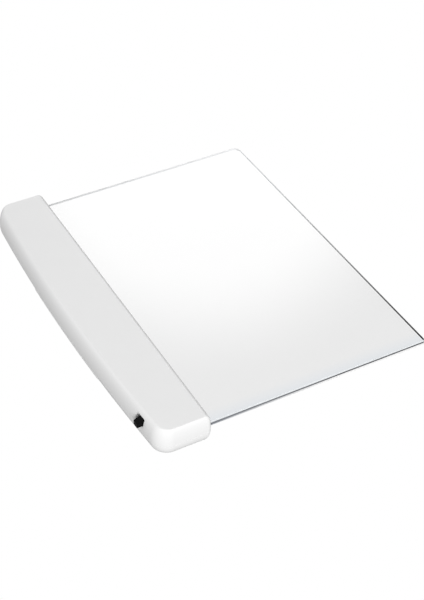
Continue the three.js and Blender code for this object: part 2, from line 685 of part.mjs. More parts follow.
place('switch_knob', switchKnob(), 'black_plastic');
place('switch_body', switchBody(), 'black_plastic');
place('switch_frame', switchFrame(), 'steel');
for (const step of [-1, 0, 1]) {
  place(`switch_pin_${step + 2}`, switchPin(step), 'steel');
}

const cellY = (CELL_LENGTH + CLEARANCE) / 2;
LANE_X.forEach((x, lane) => {
  const direction = lane === 0 ? -1 : 1;
  const drift = direction * SPRING_SHIFT;
  place(`battery_cell_${lane * 2 + 1}`, batteryCell(x, -cellY + drift, direction), 'cell');
  place(`battery_cell_${lane * 2 + 2}`, batteryCell(x, cellY + drift, direction), 'cell');
});
const [outerLane, innerLane] = LANE_X;
const bothLanes = [outerLane - CONTACT_HALF_WIDTH, innerLane + CONTACT_HALF_WIDTH];
place('positive_contact', contactPlate(around(outerLane, CONTACT_HALF_WIDTH), -1), 'steel');
place('negative_contact', contactPlate(around(innerLane, CONTACT_HALF_WIDTH), -1), 'steel');
place('bridge_contact', contactPlate(bothLanes, 1), 'steel');
place('negative_spring', contactSpring(innerLane, 1), 'steel');
place('bridge_spring', contactSpring(outerLane, -1), 'steel');

place('red_wire', redWire(), 'red_wire');
place('black_wire', blackWire(), 'black_wire');
place('white_wire', whiteWire(), 'white_wire');

SCREW_PLACES.forEach((spot, i) => {
  place(`housing_screw_${i + 1}`, housingScrew(spot), 'steel');
});

// The origin goes under the middle of the whole light.
const bounds = new THREE.Box3().setFromObject(group);
group.position.x = -(bounds.min.x + bounds.max.x) / 2;

export default group;
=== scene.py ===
# Looks of the edge-lit reading light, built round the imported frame. The fine pieces are drawn in
# millimetres, measured from the middle of the housing's inner face: +X over the panel, -X into the
# housing, +Y away from the switch end, +Z up from the housing's flat underside.
import math

import bpy
from mathutils import Matrix, Vector

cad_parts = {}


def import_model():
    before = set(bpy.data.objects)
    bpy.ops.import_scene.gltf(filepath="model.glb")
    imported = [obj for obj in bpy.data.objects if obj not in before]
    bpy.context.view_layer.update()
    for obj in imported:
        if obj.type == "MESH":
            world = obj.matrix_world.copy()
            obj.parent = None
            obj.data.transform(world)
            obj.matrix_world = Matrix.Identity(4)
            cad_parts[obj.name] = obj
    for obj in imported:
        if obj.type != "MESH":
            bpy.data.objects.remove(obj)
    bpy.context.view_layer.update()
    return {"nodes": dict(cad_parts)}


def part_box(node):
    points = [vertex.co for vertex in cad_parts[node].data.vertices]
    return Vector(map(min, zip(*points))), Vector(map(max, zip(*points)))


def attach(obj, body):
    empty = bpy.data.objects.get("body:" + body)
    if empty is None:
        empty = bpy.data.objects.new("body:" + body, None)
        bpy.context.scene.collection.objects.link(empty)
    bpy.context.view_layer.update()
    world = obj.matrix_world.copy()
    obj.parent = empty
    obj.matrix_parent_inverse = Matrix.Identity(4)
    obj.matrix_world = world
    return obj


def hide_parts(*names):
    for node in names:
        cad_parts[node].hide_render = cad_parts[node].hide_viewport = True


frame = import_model()

MM = 0.001
FACE_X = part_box("upper_shell")[1].x  # the housing's inner face in the row frame
TO_ROW = Matrix.Translation((FACE_X, 0, 0)) @ Matrix.Scale(MM, 4)


def reach(node):
    """The lowest and highest corner of a CAD node, in millimetres from the housing's inner face."""
    low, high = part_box(node)
    start = Vector((FACE_X, 0, 0))
    return (low - start) / MM, (high - start) / MM


# ---- sizes, from the frame ----

UPPER_LOW, UPPER_HIGH = reach("upper_shell")
DOOR_HIGH = reach("battery_door")[1]
PANEL_LOW, PANEL_HIGH = reach("light_panel")
KNOB_LOW, KNOB_HIGH = reach("switch_knob")
SWITCH_LOW, SWITCH_HIGH = reach("switch_body")
SWITCH_MIDDLE = (SWITCH_LOW + SWITCH_HIGH) / 2
HALF_LENGTH = UPPER_HIGH.y
HEIGHT = UPPER_HIGH.z
DEPTH = -UPPER_LOW.x
SHELL_GAP = 0.3  # between the two CAD shells; the fine seam runs along its middle
SEAM_Z = UPPER_LOW.z - SHELL_GAP / 2
PANEL_HALF = PANEL_HIGH.y
CELL_NODES = [f"battery_cell_{i}" for i in (1, 2, 3, 4)]
LANES = [(reach(name)[0].x + reach(name)[1].x) / 2 for name in CELL_NODES[::2]]

# ---- sizes of the fine shape ----

FAR = 300.0  # longer than every piece
PAST = 1  # how far a cutter reaches past what it cuts
ROOT = 0.4  # how far a rib or boss runs into the upper shell's ceiling
QUARTER = math.pi / 2

# housing
BOW_RISE = 4.4  # how far the middle of the outer wall stands out past its ends
OUTER_CORNER = 9.8
INNER_CORNER = 2.2
WALL_TOP_ROUND = (4.0, 10.5)  # edge roundings: width, then height
END_TOP_ROUND = (1.9, 9.0)
BOTTOM_ROUND = (2.8, 6.0)
INNER_TOP_ROUND = (3.0, 4.4)
INNER_BOTTOM_ROUND = (4.4, 8.4)
CORNER_STEPS = 20
BOW_STEPS = 72
ROUND_STEPS = 14
LEVEL_STEP = 0.004  # closest slices of the outer form
FLAT_BORDER = 0.5  # keeps the flat top's and bottom's shading flat
WALL = 1.8
WALL_PLAY = 0.25  # between the upper shell's wall and what stands inside it
CEILING_Z = HEIGHT - WALL
FLOOR_ROOT_Z = WALL - 0.2  # where the lower shell's ribs and bosses are rooted
SHELF_DEPTH = 3.6  # of the ribs that clamp the panel's hidden margin
SEAM_GAP = 0.06
SEAM_CHAMFER = 0.05
SCREW_PLACES = [(-18, -103), (-18, -58), (-18, 58), (-18, 103)]
UPPER_BOSS_RADIUS = 3
LOWER_BOSS_RADIUS = 4
PILOT_RADIUS = 1.1
PILOT_TOP_Z = 12
SCREW_HOLE_RADIUS = 1.5
SCREW_SINK = [(3.1, -1), (3.1, 0), (2.8, 0.3), (2.8, 2.9)]
CEILING_RIB_Y = (-76, -50, 50, 80)
CEILING_RIB_DROP = 1.2
RIM_HEIGHT = 1.4  # lip of the lower shell that centres the upper one
RIM_THICKNESS = 0.9
RIM_START_Y = 52
RIM_SWITCH_HALF = 12.5
BOARD_RIB_Y = (-100, -52, -20, 20, 52, 100)
BOARD_SLOT_X = (-8.5, -6.7)

# battery door and bay
DOOR_THICKNESS = 1.2
DOOR_PROUD = 0.6
DOOR_LIP_PROUD = 0.12
DOOR_LIP_EDGE = 0.15  # rounding along the lip's top
DOOR_LIP_STEPS = 5
DOOR_FLARE_Z = 1.4  # above this the lip runs back towards the wall
DOOR_GAP = 0.2
DOOR_WAY_X = -7.5  # the wall's opening for the lip lies outside this
RAIL_THICKNESS = 0.8
RAIL_WIDTH = 1.6
RAIL_WEB = 1.2
RAIL_X = (-31.4, -12.6)
LEDGE_X = (-31.8, -12.5)
LEDGE_Z = DOOR_THICKNESS + 0.3
GRIP_COUNT = 4
GRIP_START_X = -29.7
GRIP_PITCH = 2.2
GRIP_RADIUS = 1.1
GRIP_DEPTH = 0.4
GRIP_RUN = ((-9, 0.75), (-8.4, 1), (8.4, 1), (9, 0.75))  # (place along the groove, share of its radius)
GRIP_SIDES = 24
BAY_OUTSIDE_X = -75.0
BAY_HALF_LENGTH = 47.5
BAY_WALL = 1.2
BAY_INNER_X = -10.6
WIRE_WINDOW_X = (1.6, 3.8)  # from the middle of a lane
WIRE_WINDOW_Z = (11.2, 13.4)

# panel
PANEL_CORNERS = (1.5, 4.4)  # radii of the free corners, at the switch end and at the other end
PANEL_CORNER_STEPS = 16
PANEL_EDGE = 0.2  # rounding of the plate's edges
PANEL_EDGE_STEPS = 4
PANEL_PLAY = 0.15  # at each end of its way through the shell
PLATE_MARGIN = 0.9  # strip of the underside along the free edge
PLATE_RIM = 0.45  # strip of the top face that belongs to the free edge and takes its painted shade
HIDDEN_X = 0.5  # the plate is inside the housing up to here
LED_PITCH = 33.6
NOTCH_Y = [step * LED_PITCH for step in (-2, -1, 1, 2)]
NOTCH_HALF_WIDTH = 1.3
NOTCH_END_X = -1.9
PEG_HALF_WIDTH = 1
PEG_END_X = -2.2

# switch
SLOT_Y = (-95.45, -87.25)
SLOT_Z = (9.4, 14.4)
SLOT_CORNER = 0.4
SLOT_PLAY = 0.3
KNOB_LENGTH = 4.6
KNOB_SETBACK = 0.45  # of the knob's face behind the CAD knob's
RIDGE_PITCH = 0.95
RIDGE_HALF_WIDTH = 0.22
FLANGE_X = (0.3, 1.1)  # behind the wall's thick patch
FLANGE_PLAY = 0.15  # between the flange and the sloping inside of the wall
STEM_HALF = (1.5, 0.8)  # half width, half height
KNOB_BREAK = 0.15  # broken edges of the flange and the stem
PAD_X = -29.6  # flat inner face of the wall's thick patch behind the slot
PAD_HALF_LENGTH = 11.5
EAR_X = (-27.2, -25.6)  # uprights behind the switch's frame
EAR_OFFSET = 8.9
EAR_HALF_WIDTH = 0.8
REST_X = (-27.2, -23.6)  # block under the switch's body
REST_HALF_LENGTH = 5.6

# cells, contacts, screws and wires
CELL_SIDES = 64
SPRING_WIRE_RADIUS = 0.35
SPRING_TURNS = 3.6
SPRING_NARROW_RADIUS = 2.2
SPRING_STEPS = 140
SPRING_CLOSED_SHARE = 0.1  # of its length, at each end, that lies flat
SCREW_SIDES = 40
SCREW_ROOT_RADIUS = 0.95
SCREW_CREST_RADIUS = 1.2
SCREW_HEAD_HEIGHT = 1.7
SCREW_PITCH = 0.9
SCREW_POINT = 0.6
RECESS_HALF = (1.45, 0.32)  # half length and half width of the cross's arms
RECESS_DEPTH = 0.9
WIRE_RADIUS = 0.6
WIRE_SIDES = 14
WIRE_STEPS = 10  # from one point of a wire's route to the next

# light strip
LED_BREAK = 0.12
LED_WELL_DEPTH = 0.35
LED_WELL_WALL = (0.5, 0.45)  # beside the well, above and below it
RESISTOR_CAP = 0.6
RESISTOR_BODY_SINK = 0.05  # how far the body lies below its two end caps

# materials
SHELL_COLOR = (0.86, 0.86, 0.86)
# partly painted shade: the plate's grey tint also darkens it for the shadow that it would cast on the floor
# under it
PLATE_TINT_AND_PAINTED_SHADE = (0.85, 0.85, 0.85)
PLATE_BLUE = (0.92, 0.955, 0.99)  # the tint's share along the edge at the switch end
PLATE_BLUE_MARGIN = 9
PAINTED_EDGE_GLOW = 0.4  # painted glow: how much light the side and the far edge seem to pass on, given by emission
# painted shade on the free side edge: black at the switch end, pale at the far end
SIDE_PAINTED_DARK = (0.0, 0.0, 0.0)
SIDE_PAINTED_PALE = (0.62, 0.63, 0.64)
# painted shade on the far end's edge: grey by the housing, pale towards the free side
FAR_PAINTED_GREY = (0.6, 0.61, 0.62)
FAR_PAINTED_PALE = (0.86, 0.87, 0.88)
# painted reflection on the edge at the switch end: dark and pale bands up its thickness for the surroundings
# it mirrors, with a near-black band towards the free corner
EDGE_PAINTED_DARK = (0.06, 0.063, 0.07)
EDGE_PAINTED_GREY = (0.17, 0.18, 0.2)
EDGE_PAINTED_PALE = (0.8, 0.82, 0.84)
NEAR_END_PAINTED_BANDS = [(0.0, (0.5, 0.52, 0.56)), (0.16, (0.42, 0.44, 0.47)), (0.3, EDGE_PAINTED_GREY), (0.62, EDGE_PAINTED_GREY),
             (0.76, EDGE_PAINTED_PALE)]
NEAR_CORNER_PAINTED_BANDS = [(0.0, (0.95, 0.95, 0.95)), (0.36, (0.9, 0.9, 0.9)), (0.48, EDGE_PAINTED_DARK), (0.68, EDGE_PAINTED_DARK),
                    (0.8, EDGE_PAINTED_PALE)]
NOISE_RANGE = (0.3, 0.7)  # the part of the noise that is used

# studio, in metres and degrees; azimuth 0 looks along +Y
AZIMUTH = math.radians(-28.25)
ELEVATION = math.radians(40.14)
AIM = Vector((0.00316, -0.01163, 0))
DISTANCE = 0.85733
LENS = 87.92
SENSOR = 36
FLOOR_HALF = 20
FLOOR_DROP = 0.0003  # keeps the floor clear of the flat underside
SOFTBOX_AZIMUTH = 180 - 28.25 + 0.7  # opposite the camera
SOFTBOX_HEIGHT = 31.5
SOFTBOX_DISTANCE = 2.0
SOFTBOX_RADIUS = 0.5
SOFTBOX_CORE = 0.51  # share of the radius inside which it is evenly bright
SOFTBOX_STRENGTH = 2.96
SOFTBOX_SIDES = 64
WORLD_HIGH = 0.6925
WORLD_LOW = 0.2635
KEY_TARGET = Vector((-0.04, 0, 0))
KEY_TURN = -20.0
KEY_HEIGHT = 25.0
KEY_DISTANCE = 3.5
KEY_SIZE = 1.4
KEY_POWER = 81.8


# ---- mesh tools ----

def make(name, vertices, faces):
    mesh = bpy.data.meshes.new(name)
    mesh.from_pydata([tuple(v) for v in vertices], [], faces)
    item = bpy.data.objects.new(name, mesh)
    bpy.context.scene.collection.objects.link(item)
    return item


def loft(name, rings):
    """A closed solid through rings of points, each ring counter-clockwise seen from the last one."""
    count = len(rings[0])
    vertices = [point for ring in rings for point in ring]
    faces = []
    for level in range(len(rings) - 1):
        base = level * count
        for i in range(count):
            j = (i + 1) % count
            faces.append((base + i, base + j, base + count + j, base + count + i))
    faces.append(tuple(reversed(range(count))))
    faces.append(tuple(range(len(vertices) - count, len(vertices))))
    return make(name, vertices, faces)


def span(middle, half):
    return (middle - half, middle + half)


def block(x, y, z, edge=0.0):
    """A box between pairs of coordinates, with its upright and level edges broken by edge."""
    (x0, x1), (y0, y1), (z0, z1) = x, y, z

    def ring(inset, level):
        corners = [(x0 + inset, y0 + inset, 1, 1), (x1 - inset, y0 + inset, -1, 1),
                   (x1 - inset, y1 - inset, -1, -1), (x0 + inset, y1 - inset, 1, -1)]
        if not edge:
            return [(cx, cy, level) for cx, cy, _, _ in corners]
        points = []
        for i, (cx, cy, sx, sy) in enumerate(corners):
            along_x, along_y = (cx + sx * edge, cy, level), (cx, cy + sy * edge, level)
            points += [along_y, along_x] if i % 2 == 0 else [along_x, along_y]
        return points

    levels = [(0, z0), (0, z1)]
    if edge:
        levels = [(edge, z0), (0, z0 + edge), (0, z1 - edge), (edge, z1)]
    return loft("block", [ring(inset, level) for inset, level in levels])


def turned(name, profile, place=(0, 0, 0), sides=48):
    """A solid turned about an upright axis from (radius, height) pairs, bottom to top."""
    def ring(radius, height):
        angles = [i * math.tau / sides for i in range(sides)]
        return [(place[0] + radius * math.cos(a), place[1] + radius * math.sin(a), place[2] + height)
                for a in angles]
    return loft(name, [ring(radius, height) for radius, height in profile])


def post(place, radius, z):
    return turned("post", [(radius, z[0]), (radius, z[1])], (place[0], place[1], 0))


def tube(name, points, radius, sides=12):
    """A round bar through the points, its ends closed and slightly rounded."""
    rounding, tip = 0.3, 0.7  # shares of the radius
    points = [Vector(p) for p in points]
    directions = []
    for i in range(len(points)):
        ahead = points[min(i + 1, len(points) - 1)]
        behind = points[max(i - 1, 0)]
        directions.append((ahead - behind).normalized())
    side = directions[0].orthogonal().normalized()
    rings = []
    for i, (point, direction) in enumerate(zip(points, directions)):
        side = (side - direction * side.dot(direction)).normalized()
        across = direction.cross(side)
        angles = [k * math.tau / sides for k in range(sides)]
        spokes = [side * math.cos(a) + across * math.sin(a) for a in angles]
        if i == 0:
            rings.append([point + spoke * radius * tip for spoke in spokes])
            point = point + direction * radius * rounding
        last = i == len(points) - 1
        body = point - direction * radius * rounding if last else point
        rings.append([body + spoke * radius for spoke in spokes])
        if last:
            rings.append([point + spoke * radius * tip for spoke in spokes])
    return loft(name, rings)


def apply_modifiers(item):
    graph = bpy.context.evaluated_depsgraph_get()
    mesh = bpy.data.meshes.new_from_object(item.evaluated_get(graph))
    item.modifiers.clear()
    item.data = mesh
    return item


def combine(item, operation, others):
    for other in others:
        modifier = item.modifiers.new(operation, "BOOLEAN")
        modifier.operation = operation
        modifier.solver = "MANIFOLD"
        modifier.object = other
    apply_modifiers(item)
    for other in others:
        bpy.data.objects.remove(other)
    return item


def cut(item, *others):
    return combine(item, "DIFFERENCE", others)


def join(item, *others):
    return combine(item, "UNION", others)


def overlap(item, *others):
    return combine(item, "INTERSECT", others)


def bevelled(item, width):
    modifier = item.modifiers.new("edges", "BEVEL")
    modifier.width = width
    modifier.segments = 2
    modifier.limit_method = "ANGLE"
    modifier.angle_limit = math.radians(40)
    modifier.use_clamp_overlap = True
    return item


def smoothed(item, angle=32):
    item.data.shade_smooth()
    item.data.set_sharp_from_angle(angle=math.radians(angle))
    modifier = item.modifiers.new("even shading", "WEIGHTED_NORMAL")
    modifier.keep_sharp = True
    modifier.weight = 80
    return item


def dress(item, *materials):
    item.data.materials.clear()
    for material in materials:
        item.data.materials.append(material)
    return item


def piece(item, name, body, materials, replaced, angle=32):
    """Names a finished shape, moves it into the row frame, ties it to its body and hides the CAD nodes that
    it replaces.
    """
    item.name = name
    item.data.name = name
    item.data.transform(TO_ROW)
    item.data.update()
    if materials:
        dress(item, *materials)
    smoothed(item, angle)
    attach(item, body)
    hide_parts(*replaced)
    return item


# ---- materials ----

def fill(node, **values):
    """Sets a node's inputs by name, with _ for a space."""
    for key, value in values.items():
        node.inputs[key.replace("_", " ")].default_value = value
    return node


class Surface:
    """A Principled material built up from object-space noise."""

    def __init__(self, name, color, roughness, metallic=0.0):
        self.material = bpy.data.materials.new(name)
        self.material.use_nodes = True
        self.tree = self.material.node_tree
        self.shader = self.tree.nodes["Principled BSDF"]
        fill(self.shader, Base_Color=(*color, 1), Roughness=roughness, Metallic=metallic)
        self.color = color
        self.roughness = roughness
        self.place = self.node("ShaderNodeTexCoord").outputs["Object"]

    def node(self, kind, **settings):
        made = self.tree.nodes.new(kind)
        for key, value in settings.items():
            setattr(made, key, value)
        return made

    def link(self, start, end):
        self.tree.links.new(start, end)

    def noise(self, size_mm, detail=3.0, stretch=(1, 1, 1)):
        """Noise whose features are about size_mm across."""
        mapping = self.node("ShaderNodeMapping")
        mapping.inputs["Scale"].default_value = [1 / (size_mm * MM) * s for s in stretch]
        self.link(self.place, mapping.inputs["Vector"])
        noise = self.node("ShaderNodeTexNoise")
        fill(noise, Scale=1.0, Detail=detail)
        self.link(mapping.outputs["Vector"], noise.inputs["Vector"])
        return noise.outputs["Fac"]

    def between(self, factor, low, high):
        """A colour ramp from low to high over the middle of the noise."""
        return self.bands(factor, list(zip(NOISE_RANGE, (low, high))))

    def along(self, axis, start_mm, end_mm):
        """0 to 1 between two places along an axis, in millimetres of the fine shape's own frame."""
        split = self.node("ShaderNodeSeparateXYZ")
        self.link(self.place, split.inputs["Vector"])
        spread = self.node("ShaderNodeMapRange")
        shift = FACE_X if axis == "X" else 0
        fill(spread, From_Min=start_mm * MM + shift, From_Max=end_mm * MM + shift)
        self.link(split.outputs[axis], spread.inputs["Value"])
        return spread.outputs["Result"]

    def bands(self, factor, stops):
        """A colour ramp through two or more (position, colour) stops."""
        ramp = self.node("ShaderNodeValToRGB")
        points = ramp.color_ramp.elements
        while len(points) < len(stops):
            points.new(0.5)
        for point, (position, color) in zip(points, stops):
            point.position = position
            point.color = (*color, 1)
        self.link(factor, ramp.inputs["Fac"])
        return ramp.outputs["Color"]

    def mixed(self, factor, first, second):
        """Two colours mixed; each is a colour or a node's output."""
        mix = self.node("ShaderNodeMix", data_type="RGBA")
        self.link(factor, mix.inputs["Factor"])
        for socket, color in ((mix.inputs[6], first), (mix.inputs[7], second)):
            if isinstance(color, bpy.types.NodeSocket):
                self.link(color, socket)
            else:
                socket.default_value = (*color, 1)
        return mix.outputs[2]

    def vary_color(self, size_mm, amount):
        low = [c * (1 - amount) for c in self.color]
        high = [min(c * (1 + amount), 1) for c in self.color]
        self.link(self.between(self.noise(size_mm), low, high), self.shader.inputs["Base Color"])
        return self

    def vary_roughness(self, size_mm, amount):
        spread = self.node("ShaderNodeMapRange")
        fill(spread, From_Min=NOISE_RANGE[0], From_Max=NOISE_RANGE[1],
             To_Min=max(self.roughness - amount, 0), To_Max=self.roughness + amount)
        self.link(self.noise(size_mm), spread.inputs["Value"])
        self.link(spread.outputs["Result"], self.shader.inputs["Roughness"])
        return self

    def grain(self, size_mm, height_mm, stretch=(1, 1, 1)):
        bump = self.node("ShaderNodeBump")
        fill(bump, Strength=1.0, Distance=height_mm * MM)
        self.link(self.noise(size_mm, 2.0, stretch), bump.inputs["Height"])
        self.link(bump.outputs["Normal"], self.shader.inputs["Normal"])
        return self


def finish(name, color, roughness, mottle, wear, grain, metallic=0.0):
    """A surface whose colour, roughness and height wander: (size in mm, amount) for each."""
    surface = Surface(name, color, roughness, metallic)
    return surface.vary_color(*mottle).vary_roughness(*wear).grain(*grain)


def white_plastic(name, color, mottle_mm):
    """Satin injection-moulded ABS with a fine spark-eroded texture."""
    surface = finish(name, color, 0.46, (mottle_mm, 0.006), (9, 0.05), (0.5, 0.004))
    surface.shader.inputs["Specular IOR Level"].default_value = 0.4
    return surface.material


def clear_plate(name, tint):
    """Polished clear acrylic with a trace of haze, a little bluer along the edge at the switch end. A grey
    tint is partly painted shade, for the shadow that the panel casts on the floor under it.
    """
    surface = Surface(name, tint, 0.0)
    low, high = [c * 0.996 for c in tint], [min(c * 1.004, 1) for c in tint]
    haze = surface.between(surface.noise(60), low, high)
    inward = surface.along("Y", -PANEL_HALF, -PANEL_HALF + PLATE_BLUE_MARGIN)
    edge = [c * pale for c, pale in zip(tint, PLATE_BLUE)]
    surface.link(surface.mixed(inward, edge, haze), surface.shader.inputs["Base Color"])
    fill(surface.shader, Transmission_Weight=1.0, IOR=1.49)
    return surface.material


def even(color):
    """The stops of an edge that has one tone over its whole thickness."""
    return [(0, color), (1, color)]


def painted_plate_edge(name, axis, run, start, end, glow, gloss=0.0):
    """A sawn and flamed edge of the plate, with painted shade: bands of tone up its thickness, which change
    along its run, in place of the surroundings and light that it would show.

    start and end list (share of the thickness, colour), glow is the strength of a painted glow in the same
    colours, standing in for light it would pass on, and gloss how strongly it mirrors.
    """
    surface = Surface(name, start[0][1], 0.2)
    height = surface.along("Z", PANEL_LOW.z, PANEL_HIGH.z)
    color = surface.mixed(surface.along(axis, *run), surface.bands(height, start), surface.bands(height, end))
    surface.link(color, surface.shader.inputs["Base Color"])
    # the painted tones also glow, standing in for light the edge would pass on
    surface.link(color, surface.shader.inputs["Emission Color"])
    fill(surface.shader, Emission_Strength=glow, Specular_IOR_Level=gloss)
    surface.grain(0.35, 0.01, (1, 1, 0.1))
    return surface.material


def black_plastic(name, color, gloss):
    surface = finish(name, color, 0.42, (4, 0.15), (2, 0.08), (0.3, 0.008))
    surface.shader.inputs["Specular IOR Level"].default_value = gloss
    return surface.material


def plated_steel(name, color, roughness, brushed=(1, 1, 1)):
    return finish(name, color, roughness, (3, 0.05), (1.5, 0.07), (0.25, 0.003, brushed), 1.0).material


def cell_jacket(name, color):
    surface = finish(name, color, 0.3, (6, 0.06), (4, 0.05), (0.8, 0.004), 0.6)
    fill(surface.shader, Coat_Weight=0.5, Coat_Roughness=0.12)
    return surface.material


def board_finish():
    """White solder mask, slightly uneven over the glass weave."""
    return finish("board_white", (0.86, 0.86, 0.82), 0.35, (5, 0.02), (2, 0.06), (0.6, 0.01)).material


def gel(name, color, roughness):
    surface = Surface(name, color, roughness)
    surface.vary_color(0.6, 0.08).vary_roughness(0.5, 0.05)
    fill(surface.shader, Subsurface_Weight=0.2, Subsurface_Scale=0.5 * MM)
    return surface.material


def ceramic(name, color):
    return finish(name, color, 0.4, (0.4, 0.1), (0.6, 0.08), (0.2, 0.005)).material


def insulation(name, color):
    return finish(name, color, 0.42, (3, 0.05), (2, 0.08), (0.7, 0.01)).material


SHELL = white_plastic("shell_white", SHELL_COLOR, 35)
DOOR = white_plastic("door_white", SHELL_COLOR, 28)
CLEAR = clear_plate("clear_acrylic", PLATE_TINT_AND_PAINTED_SHADE)
CLEAR_MARGIN = clear_plate("clear_acrylic_margin", (1, 1, 1))
# the plate's edges, coloured with painted shade, painted reflection and painted glow
PLATE_SIDE_PAINTED_SHADE = painted_plate_edge("clear_acrylic_side_painted_shade", "Y", (-PANEL_HALF, PANEL_HALF), even(SIDE_PAINTED_DARK),
                        even(SIDE_PAINTED_PALE), PAINTED_EDGE_GLOW)
PLATE_NEAR_PAINTED_REFLECTION = painted_plate_edge("clear_acrylic_near_end_painted_reflection", "X", (0, PANEL_HIGH.x * 0.6), NEAR_END_PAINTED_BANDS,
                        NEAR_CORNER_PAINTED_BANDS, glow=0, gloss=0.5)
PLATE_FAR_PAINTED_SHADE = painted_plate_edge("clear_acrylic_far_end_painted_shade", "X", (0, PANEL_HIGH.x), even(FAR_PAINTED_GREY),
                       even(FAR_PAINTED_PALE), PAINTED_EDGE_GLOW)
BLACK = black_plastic("switch_black", (0.002, 0.002, 0.0022), 0.1)
BLACK_GRIP = black_plastic("switch_grip", (0.014, 0.014, 0.015), 0.3)
STEEL = plated_steel("plated_steel", (0.62, 0.62, 0.6), 0.28, (0.1, 1, 1))
SCREW = plated_steel("screw_steel", (0.55, 0.55, 0.54), 0.32)
JACKET = cell_jacket("cell_jacket", (0.03, 0.1, 0.07))
JACKET_BAND = cell_jacket("cell_jacket_band", (0.5, 0.5, 0.48))
BOARD = board_finish()
PACKAGE = ceramic("led_package", (0.88, 0.88, 0.85))
PHOSPHOR = gel("led_phosphor", (0.9, 0.66, 0.08), 0.22)
RESISTOR = ceramic("resistor_black", (0.02, 0.02, 0.022))
RED = insulation("wire_red", (0.45, 0.02, 0.012))
DARK = insulation("wire_black", (0.015, 0.015, 0.016))
PALE = insulation("wire_white", (0.75, 0.75, 0.72))


# ---- housing ----

def arc(center, radius, start, end, steps, last_radius=None):
    """Points round part of a circle; with last_radius, its radius changes smoothly on the way."""
    points = []
    for i in range(steps + 1):
        t = i / steps
        turn = start + (end - start) * t
        grown = radius + ((radius if last_radius is None else last_radius) - radius) * t * t * (3 - 2 * t)
        points.append((center[0] + grown * math.cos(turn), center[1] + grown * math.sin(turn)))
    return points


def outline(inset=0.0, face_inset=None, inner=None, end_inset=None):
    """The housing seen from above: straight inner side, four rounded corners, bowed outer side."""
    face_inset = inset if face_inset is None else face_inset
    end_inset = inset if end_inset is None else end_inset
    inner = max(INNER_CORNER - inset, 0.3) if inner is None else inner
    bow_radius = (HALF_LENGTH ** 2 + BOW_RISE ** 2) / (2 * BOW_RISE)
    bow_x = bow_radius - DEPTH
    corner_y = HALF_LENGTH - OUTER_CORNER
    corner_x = bow_x - math.sqrt((bow_radius - OUTER_CORNER) ** 2 - corner_y ** 2)
    bow_angle = math.atan2(corner_y, bow_x - corner_x)
    wall_radius, end_radius = OUTER_CORNER - inset, OUTER_CORNER - end_inset
    inner_x = -face_inset - inner
    inner_y = HALF_LENGTH - end_inset - inner
    points = arc((inner_x, -inner_y), inner, -QUARTER, 0, CORNER_STEPS // 2)
    points += arc((inner_x, inner_y), inner, 0, QUARTER, CORNER_STEPS // 2)
    points += arc((corner_x, corner_y), end_radius, QUARTER, math.pi - bow_angle, CORNER_STEPS, wall_radius)
    points += arc((bow_x, 0), bow_radius - inset, math.pi - bow_angle, math.pi + bow_angle, BOW_STEPS)[1:]
    points += arc((corner_x, -corner_y), wall_radius, math.pi + bow_angle, 3 * QUARTER, CORNER_STEPS,
                  end_radius)[1:]
    return points


def edge_inset(size, distance):
    """How far a rounded edge has drawn in at a distance from the face that it runs into."""
    width, height = size
    if distance >= height:
        return 0.0
    return width * (1 - math.sqrt(max(1 - (1 - distance / height) ** 2, 0)))


def edge_levels(size):
    """Distances from the face at which to slice a rounded edge, closer together near the face."""
    return [size[1] * (1 - math.cos(QUARTER * i / ROUND_STEPS)) for i in range(ROUND_STEPS + 1)]


def form_ring(z, proud=0.0, extra=0.0, level=None):
    """The housing's outer form at height z; extra draws the whole outline in."""
    low = edge_inset((BOTTOM_ROUND[0] + proud, BOTTOM_ROUND[1]), z) - proud
    wall = edge_inset(WALL_TOP_ROUND, HEIGHT - z) + low
    end = edge_inset(END_TOP_ROUND, HEIGHT - z) + low
    face = edge_inset(INNER_TOP_ROUND, HEIGHT - z) + edge_inset(INNER_BOTTOM_ROUND, z)
    inner = max(INNER_CORNER - (end + face) / 4, 0.6)
    points = outline(wall + extra, face + extra, inner, end + extra)
    return [(x, y, z if level is None else level) for x, y in points]


def form_levels(z0, z1):
    """Heights between z0 and z1 at which the outer form is sliced."""
    found = {z0, z1}
    for distance in edge_levels(WALL_TOP_ROUND) + edge_levels(END_TOP_ROUND) + edge_levels(INNER_TOP_ROUND):
        found.add(round(HEIGHT - distance, 4))
    for distance in edge_levels(BOTTOM_ROUND) + edge_levels(INNER_BOTTOM_ROUND):
        found.add(round(distance, 4))
    levels = sorted(z for z in found if z0 <= z <= z1)
    kept = [levels[0]]
    for z in levels[1:]:
        if z - kept[-1] > LEVEL_STEP:
            kept.append(z)
    kept[-1] = z1
    return kept


def prism(inset, z, face_inset=None):
    points = outline(inset, face_inset)
    return loft("prism", [[(x, y, level) for x, y in points] for level in z])


def inner_form(extra, z):
    """The housing's form between two heights, drawn in by extra all round."""
    return loft("inner_form", [form_ring(level, extra=extra) for level in form_levels(*z)])


def upper_form():
    low = SEAM_Z + SEAM_GAP / 2
    rings = [form_ring(low, extra=SEAM_CHAMFER)]
    rings += [form_ring(z) for z in form_levels(low + SEAM_CHAMFER, HEIGHT)]
    rings.append(form_ring(HEIGHT, extra=FLAT_BORDER))
    return loft("upper_form", rings)


def lower_form():
    high = SEAM_Z - SEAM_GAP / 2
    rings = [form_ring(0, extra=FLAT_BORDER)]
    rings += [form_ring(z) for z in form_levels(0, high - SEAM_CHAMFER)]
    rings.append(form_ring(high, extra=SEAM_CHAMFER))
    return loft("lower_form", rings)


def slot_cutter():
    """The switch's slot, its corners slightly broken."""
    return block((-DEPTH - 5 * PAST, PAD_X + PAST), SLOT_Y, SLOT_Z, SLOT_CORNER)


